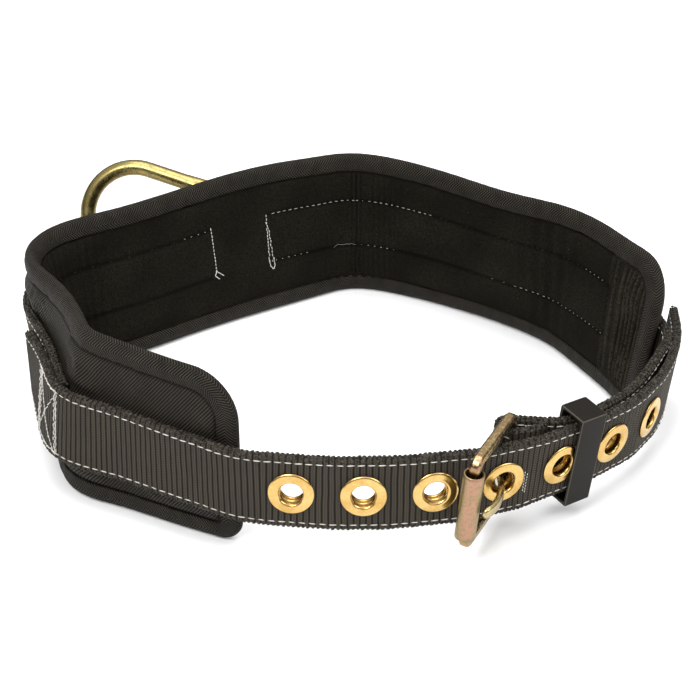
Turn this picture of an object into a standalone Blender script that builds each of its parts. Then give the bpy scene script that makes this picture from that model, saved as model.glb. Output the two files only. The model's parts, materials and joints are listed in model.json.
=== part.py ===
"""Restraint body belt with a padded back, a D-ring and a roller tongue buckle.

The pad is described flat, as it is sewn, and is then wrapped along its course round the waist.
The two straps follow courses of their own. Metres, +Z up, the pad stands on its lower edge.
"""

import math

import bmesh
import bpy
import numpy as np
from mathutils import Matrix, Vector

# Where the loop's own centre lies, so that the belt's box is centred on the origin
LOOP_CENTRE = (0.00125, 0.00670)

# Pad
PAD_HEIGHT = 0.1016
PAD_OUTER_FACE = 0.0052
PAD_INNER_FACE = 0.0044
PAD_EDGE_HALF = 0.0027
UPPER_CORNER_RADIUS = 0.027
LOWER_CORNER_RADIUS = 0.013
CORNER_STEPS = 5
END_STEPS = 2
LINING_THICKNESS = 0.0014
LINING_INSET = 0.0116
BINDING_REACH = 0.0112
BINDING_HALF = 0.0042
BINDING_THICKNESS = 0.0012
WEB_EDGES = (0.0285, 0.0731)
SEAT_GAP = 0.0003
LEAN_STEP = math.radians(3.2)

# Webbing
WEB_WIDTH = 0.0445
WEB_THICKNESS = 0.0050
STRAP_GAP = 0.0004
BASE_STRAP_START = (-0.1500, -0.0720)
BASE_STRAP_FALLS_FROM = (0.1500, 0.0560)
BASE_STRAP_FALL = 0.0085
BASE_STRAP_DIP = 0.0075
BASE_DIP_REACH = 0.090
PAD_END_LINES = (0.012, 0.001)
LINE_SPACING = 0.004
FOLD_STEPS = 8

# D-ring, its bar held under the base strap between the two tacks
TACK_MIDDLE = (-0.0720, 0.1279)
RING_OFFSET = -0.0085
RING_DROP = 0.0004
RING_BAR_TILT = math.radians(26.0)
RING_SWING = math.radians(45.0)
RING_STOCK = 0.0052
RING_ARCH_RADIUS = 0.0320
RING_BEND_RADIUS = 0.0054
RING_LEG_LENGTH = 0.062
RING_LEG_FLARE = 1.05
RING_FLARE_END = 0.034
TUNNEL_REACH = 0.0165
TUNNEL_CREST = 0.0050
TUNNEL_DRAW_IN = 0.0030
TUNNEL_LINES = (-2.0, -1.5, -1.0, -0.84, -0.68, -0.52, -0.36, -0.15)

# Grommets
GROMMET_COUNT = 7
GROMMET_SPACING = 0.0374
FOURTH_GROMMET = (0.0800, -0.1345)
GROMMET_HOLE_RADIUS = 0.0063
GROMMET_OUTER_RADIUS = 0.0118
GROMMET_BARREL_RADIUS = 0.0074
GROMMET_CROWN = 0.0013
GROMMET_BACK_CROWN = 0.0008
GROMMET_SIDES = 18
GROMMET_FLAT = 0.0125
STRAP_HOLE_RADIUS = 0.0077

# Buckle
ANCHOR_CENTRE = (0.0830, -0.1120, 0.0424)
ROLLER_CENTRE = (0.0616, -0.1555, 0.0446)
BUCKLE_UP = (0.078, -0.067, 0.995)
BAR_HALF = 0.0028
BAR_CHAMFER = 0.0011
BAR_REACH = 0.0033
FRAME_HALF_HEIGHT = 0.0266
FRAME_CORNER_RADIUS = 0.0040
ROLLER_LENGTH = 0.0410
ROLLER_SHIFT = 0.0007
ROLLER_OUTER_RADIUS = 0.0055
ROLLER_INNER_RADIUS = 0.0045
ROLLER_SIDES = 24
TONGUE_HALF_THICKNESS = 0.0020
TONGUE_EXTRUDE = 0.0015
TONGUE_SLOT = (0.036, 0.030, 0.0080)
TONGUE_DROP = 0.0022

# Keeper
KEEPER_PLACE = (0.1243, -0.1078)
KEEPER_RISE = -0.0005
KEEPER_SKEW = math.radians(2.0)
KEEPER_WIDTH = 0.0176
KEEPER_HEIGHT = 0.0575
KEEPER_DEPTH = 0.0180
KEEPER_FRONT = 0.0037
KEEPER_WALL = 0.0018
KEEPER_EDGE_ROUND = 0.0009

# The pad's course from the front end on the wearer's right, round the back, to its other end.
# Each row is a station on the middle of the pad: x, y, and how far its top leans out in degrees.
PAD_COURSE = (
    (-0.0572, -0.1314, 0.0),
    (-0.0780, -0.1210, -1.0),
    (-0.1025, -0.1074, -2.5),
    (-0.1285, -0.0922, -5.0),
    (-0.1462, -0.0798, -8.0),
    (-0.1550, -0.0625, -9.0),
    (-0.1620, -0.0415, -7.0),
    (-0.1705, -0.0190, -2.0),
    (-0.1790, 0.0030, 4.5),
    (-0.1825, 0.0250, 7.0),
    (-0.1770, 0.0455, 5.5),
    (-0.1635, 0.0605, 3.5),
    (-0.1475, 0.0715, 3.0),
    (-0.1030, 0.1060, 4.0),
    (-0.0455, 0.1455, 5.0),
    (-0.0230, 0.1570, 2.0),
    (-0.0060, 0.1645, 0.0),
    (0.0090, 0.1650, -1.0),
    (0.0310, 0.1570, -2.0),
    (0.0705, 0.1320, -5.0),
    (0.1090, 0.1020, -6.0),
    (0.1300, 0.0845, -2.0),
    (0.1490, 0.0575, 3.0),
    (0.1635, 0.0280, 4.0),
    (0.1730, 0.0040, 7.0),
    (0.1764, -0.0094, 8.5),
)

# The base strap past the pad, against the inside of the grommet strap and then to the buckle's
# bar. Each row gives a place on the grommet strap, the clearance from it, and the height of
# the base strap's middle.
BASE_FREE_COURSE = (
    (0.1860, -0.0300, 0.0014, 0.0405),
    (0.1745, -0.0550, 0.0027, 0.0396),
    (0.1600, -0.0780, 0.0027, 0.0394),
    (0.1350, -0.1000, 0.0018, 0.0402),
    (0.1170, -0.1128, 0.0020, 0.0416),
    (0.1070, -0.1195, 0.0075, 0.0428),
)

# The folded-back end of the base strap, from the bar to its cut edge
FOLD_RETURN_COURSE = (
    (0.0915, -0.1169, 0.0424),
    (0.1000, -0.1129, 0.0422),
)

# The grommet strap where it lies over the pad, from its sewn end to the pad's front end. Each
# row gives a place on the pad's course, the clearance from the pad and the strap's height.
STRAP_ON_PAD = (
    (-0.1730, -0.0120, 0.0058, 0.0450),
    (-0.1660, -0.0310, 0.0058, 0.0450),
    (-0.1590, -0.0510, 0.0058, 0.0450),
    (-0.1500, -0.0720, 0.0058, 0.0450),
    (-0.1370, -0.0860, 0.0034, 0.0452),
    (-0.1190, -0.0980, 0.0014, 0.0452),
    (-0.0960, -0.1110, 0.0009, 0.0447),
    (-0.0740, -0.1230, 0.0007, 0.0438),
    (-0.0575, -0.1313, 0.0010, 0.0431),
)

# The outer face of the grommet strap from the pad's front end to its free tip:
# x, y, height of its middle, lean in degrees
STRAP_IN_FRONT = (
    (-0.0340, -0.1465, 0.0424, -1.0),
    (0.0050, -0.1485, 0.0415, -1.5),
    (0.0430, -0.1450, 0.0418, -0.5),
    (0.0800, -0.1345, 0.0408, 3.0),
    (0.1100, -0.1175, 0.0396, 6.0),
    (0.1400, -0.0965, 0.0390, 7.0),
    (0.1635, -0.0730, 0.0385, 6.0),
    (0.1775, -0.0500, 0.0380, 5.0),
    (0.1876, -0.0250, 0.0380, 6.0),
    (0.1934, 0.0000, 0.0380, 6.5),
    (0.1958, 0.0240, 0.0380, 6.0),
)

# The tongue's route seen along the bar: steps from the anchor bar's centre towards the roller
# and outward, away from the wearer
TONGUE_ROUTE = (
    (0.0100, -0.0006),
    (0.0180, 0.0040),
    (0.0250, 0.0078),
    (0.0330, 0.0103),
    (0.0415, 0.0108),
    (0.0505, 0.0080),
)
TONGUE_EYE_START = math.radians(10.0)
TONGUE_EYE_END = math.radians(300.0)
TONGUE_EYE_STEPS = 9
TONGUE_SHANK_STEPS = 9

MATERIALS = {
    # name: base colour, roughness, metallic
    "black_nylon_cover": ((0.020, 0.020, 0.021), 0.62, 0.0),
    "brushed_lining": ((0.012, 0.012, 0.010), 0.95, 0.0),
    "black_binding": ((0.030, 0.029, 0.027), 0.70, 0.0),
    "black_webbing": ((0.028, 0.027, 0.025), 0.60, 0.0),
    "brass": ((0.80, 0.56, 0.16), 0.22, 1.0),
    "yellow_zinc": ((0.72, 0.56, 0.38), 0.32, 1.0),
    "gold_zinc": ((0.62, 0.50, 0.24), 0.30, 1.0),
    "black_plastic": ((0.035, 0.035, 0.034), 0.38, 0.0),
}


def clear_scene():
    for leftover in list(bpy.data.objects):
        bpy.data.objects.remove(leftover, do_unlink=True)


def new_collection(name):
    collection = bpy.data.collections.new(name)
    bpy.context.scene.collection.children.link(collection)
    return collection


def new_material(name):
    colour, roughness, metallic = MATERIALS[name]
    material = bpy.data.materials.get(name) or bpy.data.materials.new(name)
    material.use_nodes = True
    shader = material.node_tree.nodes["Principled BSDF"]
    shader.inputs["Base Color"].default_value = (*colour, 1.0)
    shader.inputs["Roughness"].default_value = roughness
    shader.inputs["Metallic"].default_value = metallic
    return material


def natural_cubic(knots, values):
    """Return a reader of the natural cubic spline through the values at the knots."""
    knots = np.asarray(knots, dtype=float)
    values = np.asarray(values, dtype=float)
    steps = np.diff(knots)
    slopes = np.diff(values, axis=0) / steps[:, None]
    count = len(knots)
    matrix = np.eye(count)
    right = np.zeros_like(values)
    for i in range(1, count - 1):
        matrix[i, i - 1 : i + 2] = steps[i - 1], 2 * (steps[i - 1] + steps[i]), steps[i]
        right[i] = 6 * (slopes[i] - slopes[i - 1])
    bends = np.linalg.solve(matrix, right)

    def read(at):
        at = np.atleast_1d(np.asarray(at, dtype=float))
        i = np.clip(np.searchsorted(knots, at) - 1, 0, count - 2)
        step = steps[i][:, None]
        before = (knots[i + 1] - at)[:, None]
        after = (at - knots[i])[:, None]
        curved = (bends[i] * before**3 + bends[i + 1] * after**3) / (6 * step)
        low = (values[i] / step - bends[i] * step / 6) * before
        high = (values[i + 1] / step - bends[i + 1] * step / 6) * after
        return curved + low + high

    return read


class Course:
    """A smooth route through rows of x, y, z and lean, read by the distance along it."""

    FINE_STEPS = 2400

    def __init__(self, rows, outward_is_left):
        rows = np.array(rows, dtype=float)
        rows[:, 3] = np.radians(rows[:, 3])
        chords = np.linalg.norm(np.diff(rows[:, :3], axis=0), axis=1)
        knots = np.concatenate([[0.0], np.cumsum(chords)])
        reader = natural_cubic(knots, rows)
        self.side = 1.0 if outward_is_left else -1.0
        self.rows = reader(np.linspace(0.0, knots[-1], self.FINE_STEPS))
        pieces = np.linalg.norm(np.diff(self.rows[:, :2], axis=0), axis=1)
        self.distance = np.concatenate([[0.0], np.cumsum(pieces)])
        self.length = float(self.distance[-1])
        along = np.gradient(self.rows[:, :2], self.distance, axis=0)
        self.along = along / np.linalg.norm(along, axis=1)[:, None]

    def read(self, table, at):
        return np.array([np.interp(at, self.distance, table[:, k]) for k in range(table.shape[1])])

    def frame(self, at):
        """Place, direction along, direction up and direction out at a distance."""
        x, y, z, lean = self.read(self.rows, at)
        ahead = self.read(self.along, at)
        ahead = ahead / np.linalg.norm(ahead)
        along = Vector((ahead[0], ahead[1], 0.0))
        level_out = Vector((-ahead[1], ahead[0], 0.0)) * self.side
        vertical = Vector((0.0, 0.0, 1.0))
        up = vertical * math.cos(lean) + level_out * math.sin(lean)
        out = level_out * math.cos(lean) - vertical * math.sin(lean)
        beyond = along * min(max(at - self.length, 0.0) + min(at, 0.0), 1.0)
        return Vector((x, y, z)) + beyond, along, up, out

    def stations(self, start, end, turn=math.radians(8.0), longest=0.024):
        """Distances from start to end, close together where the course bends."""
        fine = np.linspace(start, end, 1500)
        ahead = self.read(self.along, fine)
        heading = np.unwrap(np.arctan2(ahead[1], ahead[0]))
        lean = self.read(self.rows, fine)[3]
        effort = np.maximum(np.abs(np.diff(heading)) / turn, np.abs(np.diff(lean)) / LEAN_STEP)
        effort = np.maximum(effort, np.diff(fine) / longest)
        total = np.concatenate([[0.0], np.cumsum(effort)])
        count = max(2, int(math.ceil(total[-1])) + 1)
        return np.interp(np.linspace(0.0, total[-1], count), total, fine)

    def nearest(self, x, y):
        gaps = np.hypot(self.rows[:, 0] - x, self.rows[:, 1] - y)
        return float(self.distance[int(np.argmin(gaps))])


def moved(rows):
    """Shift plan positions so that the loop's centre is the origin."""
    return [(row[0] - LOOP_CENTRE[0], row[1] - LOOP_CENTRE[1], *row[2:]) for row in rows]


def link_object(name, mesh, material, collection, smooth_angle=math.radians(40.0)):
    obj = bpy.data.objects.new(name, mesh)
    collection.objects.link(obj)
    mesh.materials.clear()
    mesh.materials.append(new_material(material))
    mesh.shade_smooth()
    mesh.set_sharp_from_angle(angle=smooth_angle)
    return obj


def close_mesh(name, points, faces):
    """Make a mesh of lofted faces, with its normals pointing out."""
    mesh = bpy.data.meshes.new(name)
    mesh.from_pydata([tuple(point) for point in points], [], faces)
    weld(mesh)
    return mesh


def pad_outline(inset, stations, length):
    """The pad's outline, set in from its rim, as matching points along the pad and up it."""
    low = LOWER_CORNER_RADIUS
    high = UPPER_CORNER_RADIUS
    low_radius = max(low - inset, 0.0012)
    high_radius = max(high - inset, 0.0012)

    def edge(radius):
        return [inset + radius, *stations[1:-1], length - inset - radius]

    points = [(s, inset) for s in edge(low_radius)]
    points += corner(length - inset - low_radius, inset + low_radius, low_radius, -90.0)
    top = PAD_HEIGHT - inset
    points += upright(length - inset, inset + low_radius, top - high_radius)
    points += corner(length - inset - high_radius, top - high_radius, high_radius, 0.0)
    points += [(s, top) for s in reversed(edge(high_radius))]
    points += corner(inset + high_radius, top - high_radius, high_radius, 90.0)
    points += upright(inset, top - high_radius, inset + low_radius)
    points += corner(inset + low_radius, inset + low_radius, low_radius, 180.0)
    return points


def corner(s, v, radius, start_degrees):
    """Points inside a quarter turn, without its two ends."""
    angles = [math.radians(start_degrees + 90.0 * k / CORNER_STEPS) for k in range(1, CORNER_STEPS)]
    return [(s + radius * math.cos(a), v + radius * math.sin(a)) for a in angles]


def upright(s, start, end):
    """Points up or down one end of the pad, with both ends of the straight run."""
    return [(s, start + (end - start) * k / END_STEPS) for k in range(END_STEPS + 1)]


def pad_stations(course):
    return list(course.stations(UPPER_CORNER_RADIUS, course.length - UPPER_CORNER_RADIUS))


def wrapper(course):
    """Return the move from flat pad places (along, up, out) to places round the waist."""

    def wrap(s, v, u):
        place, _, up, out = course.frame(s)
        return place + up * (v - PAD_HEIGHT / 2) + out * u

    return wrap


def loft_pad_piece(name, course, section, fill_inner, fill_outer, across=()):
    """Sweep a section of (inset, out) points round the pad's outline and wrap it.

    A section that is open at its ends is closed by filling the pad's area at the first point,
    the last point or both, with strips between matching points of the lower and upper edge."""
    length = course.length
    stations = pad_stations(course)
    wrap = wrapper(course)
    points = []
    for inset, out in section:
        points += [wrap(s, v, out) for s, v in pad_outline(inset, stations, length)]
    ring = len(points) // len(section)
    faces = []
    bands = len(section) - 1 if (fill_inner or fill_outer) else len(section)
    for band in range(bands):
        here = band * ring
        there = ((band + 1) % len(section)) * ring
        for k in range(ring):
            after = (k + 1) % ring
            faces.append((here + k, here + after, there + after, there + k))
    ends = ((fill_inner, 0), (fill_outer, len(section) - 1))
    for wanted, at in ends:
        if wanted:
            rows = []
            for v in across:
                rows.append(len(points))
                points += [wrap(s, v, section[at][1]) for s in stations[1:-1]]
            faces += fill_outline(at * ring, ring, len(stations), rows)
    return close_mesh(name, points, faces)


def fill_outline(base, ring, count, rows):
    """Faces that fill one outline: strips between its edges and the rows across it, and a fan
    at each end. All strips are cut into triangles as the webbing on them is."""
    side = CORNER_STEPS - 1 + END_STEPS + 1 + CORNER_STEPS - 1
    upper = count + side
    low_edge = [base + k for k in range(1, count - 1)]
    high_edge = [base + upper + count - 1 - k for k in range(1, count - 1)]
    edges = [low_edge, *[[row + k for k in range(count - 2)] for row in rows], high_edge]
    faces = []
    for low, high in zip(edges, edges[1:]):
        for k in range(count - 3):
            faces.append((low[k], high[k + 1], high[k]))
            faces.append((low[k], low[k + 1], high[k + 1]))
    right = [base + count - 1 + k for k in range(side + 2)]
    left = [base + upper + count - 1 + k for k in range(side + 1)] + [base]
    last = [edge[-1] for edge in reversed(edges)]
    first = [edge[0] for edge in edges]
    return faces + [tuple(right + last), tuple(left + first)]


def add_pad(course, collection):
    gap = SEAT_GAP
    edge = PAD_EDGE_HALF
    wall = BINDING_THICKNESS
    body = (
        (0.0180, PAD_OUTER_FACE),
        (0.0133, 0.0044),
        (BINDING_REACH + gap, edge),
        (0.0040, edge),
        (wall + gap + 0.0006, 0.0),
        (0.0040, -edge),
        (BINDING_REACH + gap, -edge),
        (0.0133, -PAD_INNER_FACE + 0.0005),
    )
    inner = loft_pad_piece("pad_body", course, body, True, True, across=WEB_EDGES)
    link_object("pad_body", inner, "black_nylon_cover", collection)

    half = BINDING_HALF
    inside = half - wall
    binding = (
        (BINDING_REACH, half),
        (0.0034, half),
        (0.0, 0.0019),
        (0.0, -0.0019),
        (0.0034, -half),
        (BINDING_REACH, -half),
        (BINDING_REACH, -inside),
        (0.0040, -inside),
        (wall, 0.0),
        (0.0040, inside),
        (BINDING_REACH, inside),
    )
    tape = loft_pad_piece("pad_binding", course, binding, False, False)
    link_object("pad_binding", tape, "black_binding", collection)

    back = -(PAD_INNER_FACE + gap)
    lining = (
        (LINING_INSET, back),
        (LINING_INSET, back - 0.0007),
        (LINING_INSET + 0.0026, back - LINING_THICKNESS),
    )
    sheet = loft_pad_piece("pad_lining", course, lining, True, True, across=WEB_EDGES)
    link_object("pad_lining", sheet, "brushed_lining", collection)


def split_quad(corners, from_first):
    """Two triangles for a face of four corners, cut from the first corner or from the second."""
    a, b, c, d = corners
    return [(a, b, c), (a, c, d)] if from_first else [(a, b, d), (b, c, d)]


def ribbon_mesh(name, lines, thickness=WEB_THICKNESS):
    """A strap as a closed solid through cross lines of place, half width vector and out."""
    half = thickness / 2
    points = []
    for place, across, out in lines:
        points += [
            place - across - out * half,
            place + across - out * half,
            place + across + out * half,
            place - across + out * half,
        ]
    faces = [(0, 1, 2, 3)]
    for k in range(len(lines) - 1):
        here = 4 * k
        for side in range(4):
            after = (side + 1) % 4
            corners = (here + side, here + after, here + 4 + after, here + 4 + side)
            faces += split_quad(corners, from_first=(side != 2))
    last = 4 * (len(lines) - 1)
    faces.append((last + 3, last + 2, last + 1, last))
    return close_mesh(name, points, faces)


def tunnel_height(distance):
    """How far the strap stands off the pad at a distance along from the D-ring's bar."""
    crest = 2 * RING_STOCK + 2 * SEAT_GAP
    reach = abs(distance)
    if reach >= TUNNEL_REACH:
        return 0.0
    if reach <= TUNNEL_CREST:
        return crest
    part = (TUNNEL_REACH - reach) / (TUNNEL_REACH - TUNNEL_CREST)
    return crest * part * part * (3 - 2 * part)


def tunnel_slant(distance):
    """How much of the bar's tilt the strap's cross line takes up there."""
    last = abs(TUNNEL_LINES[0])
    return max(0.0, min(1.0, last - abs(distance) / TUNNEL_REACH))


def strap_on_pad(pad, s):
    """The grommet strap's middle where it lies over the pad, with its directions."""
    table = [(pad.nearest(*row[:2]), *row[2:]) for row in moved(STRAP_ON_PAD)]
    at, clearance, height = np.array(sorted(table)).T
    place, _, up, out = pad.frame(s)
    off = PAD_OUTER_FACE + WEB_THICKNESS / 2 + float(np.interp(s, at, clearance))
    rise = float(np.interp(s, at, height)) - PAD_HEIGHT / 2
    return place + out * off + up * rise, up, out


def grommet_strap_course(pad):
    """The outer face of the grommet strap, on the pad and then free."""
    rows = []
    for x, y, _, _ in moved(STRAP_ON_PAD):
        s = pad.nearest(x, y)
        middle, _, out = strap_on_pad(pad, s)
        on = middle + out * WEB_THICKNESS / 2
        rows.append((on.x, on.y, on.z, math.degrees(pad.read(pad.rows, s)[3])))
    return Course(rows + moved(STRAP_IN_FRONT), outward_is_left=False)


def base_fall(pad, s):
    """How far the base strap lies below the pad's middle, at its sewn start and at the pad's end."""
    sewn = pad.nearest(*moved([BASE_STRAP_START])[0])
    near = min(1.0, max(0.0, 1 - (s - sewn) / BASE_DIP_REACH))
    start = pad.nearest(*moved([BASE_STRAP_FALLS_FROM])[0])
    part = max(0.0, (s - start) / (pad.length - start))
    return BASE_STRAP_DIP * near * near * (3 - 2 * near) + BASE_STRAP_FALL * part * part * (2 - part)


def base_strap_line(pad, s, half):
    """One cross line of the base strap on the pad."""
    place, along, up, out = pad.frame(s)
    ring_at = ring_station(pad)
    slant = math.tan(RING_BAR_TILT) * tunnel_slant(s - ring_at)
    small = 0.0002
    rise = tunnel_height(s - ring_at + small) - tunnel_height(s - ring_at - small)
    square = (out - along * rise / (2 * small)).normalized()
    seat = PAD_OUTER_FACE + STRAP_GAP + WEB_THICKNESS / 2 + tunnel_height(s - ring_at)
    half -= TUNNEL_DRAW_IN if abs(s - ring_at) < TUNNEL_REACH else 0.0
    return place + out * seat - up * base_fall(pad, s), (up + along * slant) * half, square


def buckle_axes():
    """Anchor bar's centre, distance to the roller, and the buckle's three directions: towards
    the roller, up the bar and outward."""
    anchor = Vector(moved([ANCHOR_CENTRE])[0])
    roller = Vector(moved([ROLLER_CENTRE])[0])
    up = Vector(BUCKLE_UP).normalized()
    ahead = roller - anchor
    span = ahead.length
    ahead = (ahead - up * ahead.dot(up)).normalized()
    return anchor, span, ahead, up, up.cross(ahead)


def base_strap_lines(pad, outer):
    """Cross lines of the base strap: on the pad, over the D-ring's bar, to the buckle and round
    its bar."""
    half = WEB_WIDTH / 2
    ring_at = ring_station(pad)
    first = pad.nearest(*moved([BASE_STRAP_START])[0]) - LINE_SPACING
    reach = abs(TUNNEL_LINES[0]) * TUNNEL_REACH + LINE_SPACING
    seats = [s for s in pad_stations(pad) if s > first and abs(s - ring_at) > reach]
    seats += [pad.length - back for back in PAD_END_LINES]
    for k in TUNNEL_LINES:
        seats += [ring_at + TUNNEL_REACH * k, ring_at - TUNNEL_REACH * k]
    seats.sort()
    lines = [base_strap_line(pad, s, half) for s in seats]

    rows = []
    for s in seats[-4:]:
        place, _, _ = base_strap_line(pad, s, half)
        rows.append((place.x, place.y, place.z, math.degrees(pad.read(pad.rows, s)[3])))
    for x, y, clearance, height in moved(BASE_FREE_COURSE):
        s = outer.nearest(x, y)
        place, _, _, out = outer.frame(s)
        behind = place - out * (1.5 * WEB_THICKNESS + clearance)
        rows.append((behind.x, behind.y, height, math.degrees(outer.read(outer.rows, s)[3])))
    free = Course(rows, outward_is_left=True)
    leaves = free.nearest(rows[3][0], rows[3][1])
    for s in list(free.stations(leaves, free.length, turn=math.radians(6.0)))[1:]:
        place, _, up, out = free.frame(s)
        lines.append((place, up * half, out))

    anchor, _, _, bar_up, bar_out = buckle_axes()
    turn_radius = BAR_REACH + SEAT_GAP + WEB_THICKNESS / 2
    _, along, _, _ = free.frame(free.length)
    around = (along - bar_up * along.dot(bar_up)).normalized()
    inner = around.cross(bar_up)
    if inner.dot(bar_out) > 0:
        inner = inner * -1.0
    for k in range(FOLD_STEPS + 1):
        angle = math.pi * k / FOLD_STEPS
        ray = inner * math.cos(angle) + around * math.sin(angle)
        lines.append((anchor + ray * turn_radius, bar_up * half, ray * -1.0))
    for x, y, z in moved(FOLD_RETURN_COURSE):
        lines.append((Vector((x, y, z)), bar_up * half, inner))
    return lines


def add_cutter(name, mesh, collection):
    cutter = bpy.data.objects.new(name, mesh)
    collection.objects.link(cutter)
    cutter.hide_render = True
    cutter.display_type = "WIRE"
    return cutter


def cut(obj, cutter):
    modifier = obj.modifiers.new(f"cut_{cutter.name}", "BOOLEAN")
    modifier.operation = "DIFFERENCE"
    modifier.solver = "EXACT"
    modifier.object = cutter


def box_mesh(name, size):
    mesh = bpy.data.meshes.new(name)
    shape = bmesh.new()
    bmesh.ops.create_cube(shape, size=1.0)
    bmesh.ops.scale(shape, vec=size, verts=shape.verts)
    shape.to_mesh(mesh)
    shape.free()
    return mesh


def rod_mesh(name, radius, length, sides):
    mesh = bpy.data.meshes.new(name)
    shape = bmesh.new()
    bmesh.ops.create_cone(
        shape, cap_ends=True, segments=sides, radius1=radius, radius2=radius, depth=length
    )
    shape.to_mesh(mesh)
    shape.free()
    return mesh


def basis(x_axis, y_axis, z_axis, place):
    """A matrix that carries local axes and the local origin to the ones given."""
    turned = Matrix((x_axis, y_axis, z_axis)).transposed().to_4x4()
    turned.translation = place
    return turned


def add_base_strap(pad, outer, collection, cutters):
    mesh = ribbon_mesh("base_strap", base_strap_lines(pad, outer))
    obj = link_object("base_strap", mesh, "black_webbing", collection)
    anchor, _, ahead, up, out = buckle_axes()
    slot = add_cutter("tongue_slot", box_mesh("tongue_slot", TONGUE_SLOT), cutters)
    slot.matrix_world = basis(ahead, out, up, anchor - up * TONGUE_DROP)
    cut(obj, slot)


def grommet_places(strap):
    """Distances of the grommets along the grommet strap."""
    fourth = moved([FOURTH_GROMMET])[0]
    middle = strap.nearest(*fourth)
    return [middle + GROMMET_SPACING * (k - 3) for k in range(GROMMET_COUNT)]


def strap_line(outer, s):
    place, _, up, out = outer.frame(s)
    return place - out * WEB_THICKNESS / 2, up * WEB_WIDTH / 2, out


def flat_lines(outer, s):
    """The two cross lines of a level stretch round a grommet, which share their directions."""
    before = strap_line(outer, s - GROMMET_FLAT)
    after = strap_line(outer, s + GROMMET_FLAT)
    along = (after[0] - before[0]).normalized()
    up = before[1] + after[1]
    up = (up - along * up.dot(along)).normalized()
    out = up.cross(along)
    if out.dot(before[2]) < 0:
        out = out * -1.0
    return [(place, up * WEB_WIDTH / 2, out) for place in (before[0], after[0])]


def add_grommet_strap(pad, outer, collection, cutters):
    """The strap with its row of holes, flat at each hole, and a grommet in each."""
    start = pad.nearest(*moved(STRAP_ON_PAD)[0][:2])
    lines = []
    for s in [s for s in reversed(pad_stations(pad)) if s < start + LINE_SPACING]:
        middle, up, out = strap_on_pad(pad, s)
        lines.append((middle, up * WEB_WIDTH / 2, out))
    leaves = outer.nearest(lines[-1][0].x, lines[-1][0].y)

    places = grommet_places(outer)
    first, last = places[0] - GROMMET_FLAT, places[-1] + GROMMET_FLAT
    before = outer.stations(leaves, first, turn=math.radians(5.0), longest=0.02)
    after = outer.stations(last, outer.length, turn=math.radians(5.0), longest=0.02)
    lines += [strap_line(outer, s) for s in before[1:-1]]
    for s in places:
        lines += flat_lines(outer, s)
    lines += [strap_line(outer, s) for s in after[1:]]
    mesh = ribbon_mesh("grommet_strap", lines[::-1])
    strap = link_object("grommet_strap", mesh, "black_webbing", collection)

    hole = rod_mesh("strap_hole", STRAP_HOLE_RADIUS, 4 * WEB_THICKNESS, GROMMET_SIDES)
    ring = grommet_mesh()
    for number, s in enumerate(places, start=1):
        (start, up, out), (end, _, _) = flat_lines(outer, s)
        seat = basis(up.cross(out).normalized(), up.normalized(), out, (start + end) / 2)
        punch = add_cutter(f"hole_{number}", hole, cutters)
        punch.matrix_world = seat
        cut(strap, punch)
        grommet = link_object(f"grommet_{number}", ring.copy(), "brass", collection)
        grommet.matrix_world = seat


def grommet_mesh():
    """A rolled grommet: a barrel through the strap with a flange on both faces."""
    face = WEB_THICKNESS / 2 + SEAT_GAP
    profile = (
        (GROMMET_OUTER_RADIUS, face),
        (GROMMET_OUTER_RADIUS - 0.0012, face + 0.75 * GROMMET_CROWN),
        (GROMMET_HOLE_RADIUS + 0.0013, face + GROMMET_CROWN),
        (GROMMET_HOLE_RADIUS, face - 0.0006),
        (GROMMET_HOLE_RADIUS, 0.0006 - face),
        (GROMMET_HOLE_RADIUS + 0.0012, -face - GROMMET_BACK_CROWN),
        (GROMMET_OUTER_RADIUS - 0.0012, -face - 0.75 * GROMMET_BACK_CROWN),
        (GROMMET_OUTER_RADIUS, -face),
        (GROMMET_BARREL_RADIUS, -face),
        (GROMMET_BARREL_RADIUS, face),
    )
    return turned_mesh("grommet", profile, GROMMET_SIDES)


def turned_mesh(name, profile, sides):
    """Turn a closed profile of radius and height about +Z with a Screw modifier."""
    mesh = bpy.data.meshes.new(name)
    points = [(radius, 0.0, height) for radius, height in profile]
    count = len(points)
    mesh.from_pydata(points, [(k, (k + 1) % count) for k in range(count)], [])
    holder = bpy.data.objects.new(name, mesh)
    bpy.context.scene.collection.objects.link(holder)
    screw = holder.modifiers.new("turn", "SCREW")
    screw.steps = sides
    screw.render_steps = sides
    screw.use_merge_vertices = True
    screw.merge_threshold = 0.00001
    bpy.context.view_layer.update()
    evaluated = holder.evaluated_get(bpy.context.evaluated_depsgraph_get())
    solid = bpy.data.meshes.new_from_object(evaluated)
    bpy.data.objects.remove(holder, do_unlink=True)
    weld(solid)
    return solid


def bar_mesh(name, path, depth=0.0, resolution=2, closed=False, extrude=0.0, radii=None, section=None):
    """A bar or wire along a path of points, made from a curve and welded into a mesh."""
    curve = bpy.data.curves.new(name, "CURVE")
    curve.dimensions = "3D"
    curve.bevel_depth = depth
    curve.bevel_resolution = resolution
    curve.extrude = extrude
    curve.use_fill_caps = not closed
    curve.twist_mode = "Z_UP"
    add_poly(curve, path, closed, radii)
    holder = bpy.data.objects.new(name, curve)
    bpy.context.scene.collection.objects.link(holder)
    outline = None
    if section:
        shape = bpy.data.curves.new(f"{name}_section", "CURVE")
        add_poly(shape, [(x, y, 0.0) for x, y in section], True)
        outline = bpy.data.objects.new(shape.name, shape)
        bpy.context.scene.collection.objects.link(outline)
        curve.bevel_mode = "OBJECT"
        curve.bevel_object = outline
    bpy.context.view_layer.update()
    evaluated = holder.evaluated_get(bpy.context.evaluated_depsgraph_get())
    mesh = bpy.data.meshes.new_from_object(evaluated)
    bpy.data.objects.remove(holder, do_unlink=True)
    if outline:
        bpy.data.objects.remove(outline, do_unlink=True)
    weld(mesh)
    return mesh


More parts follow.
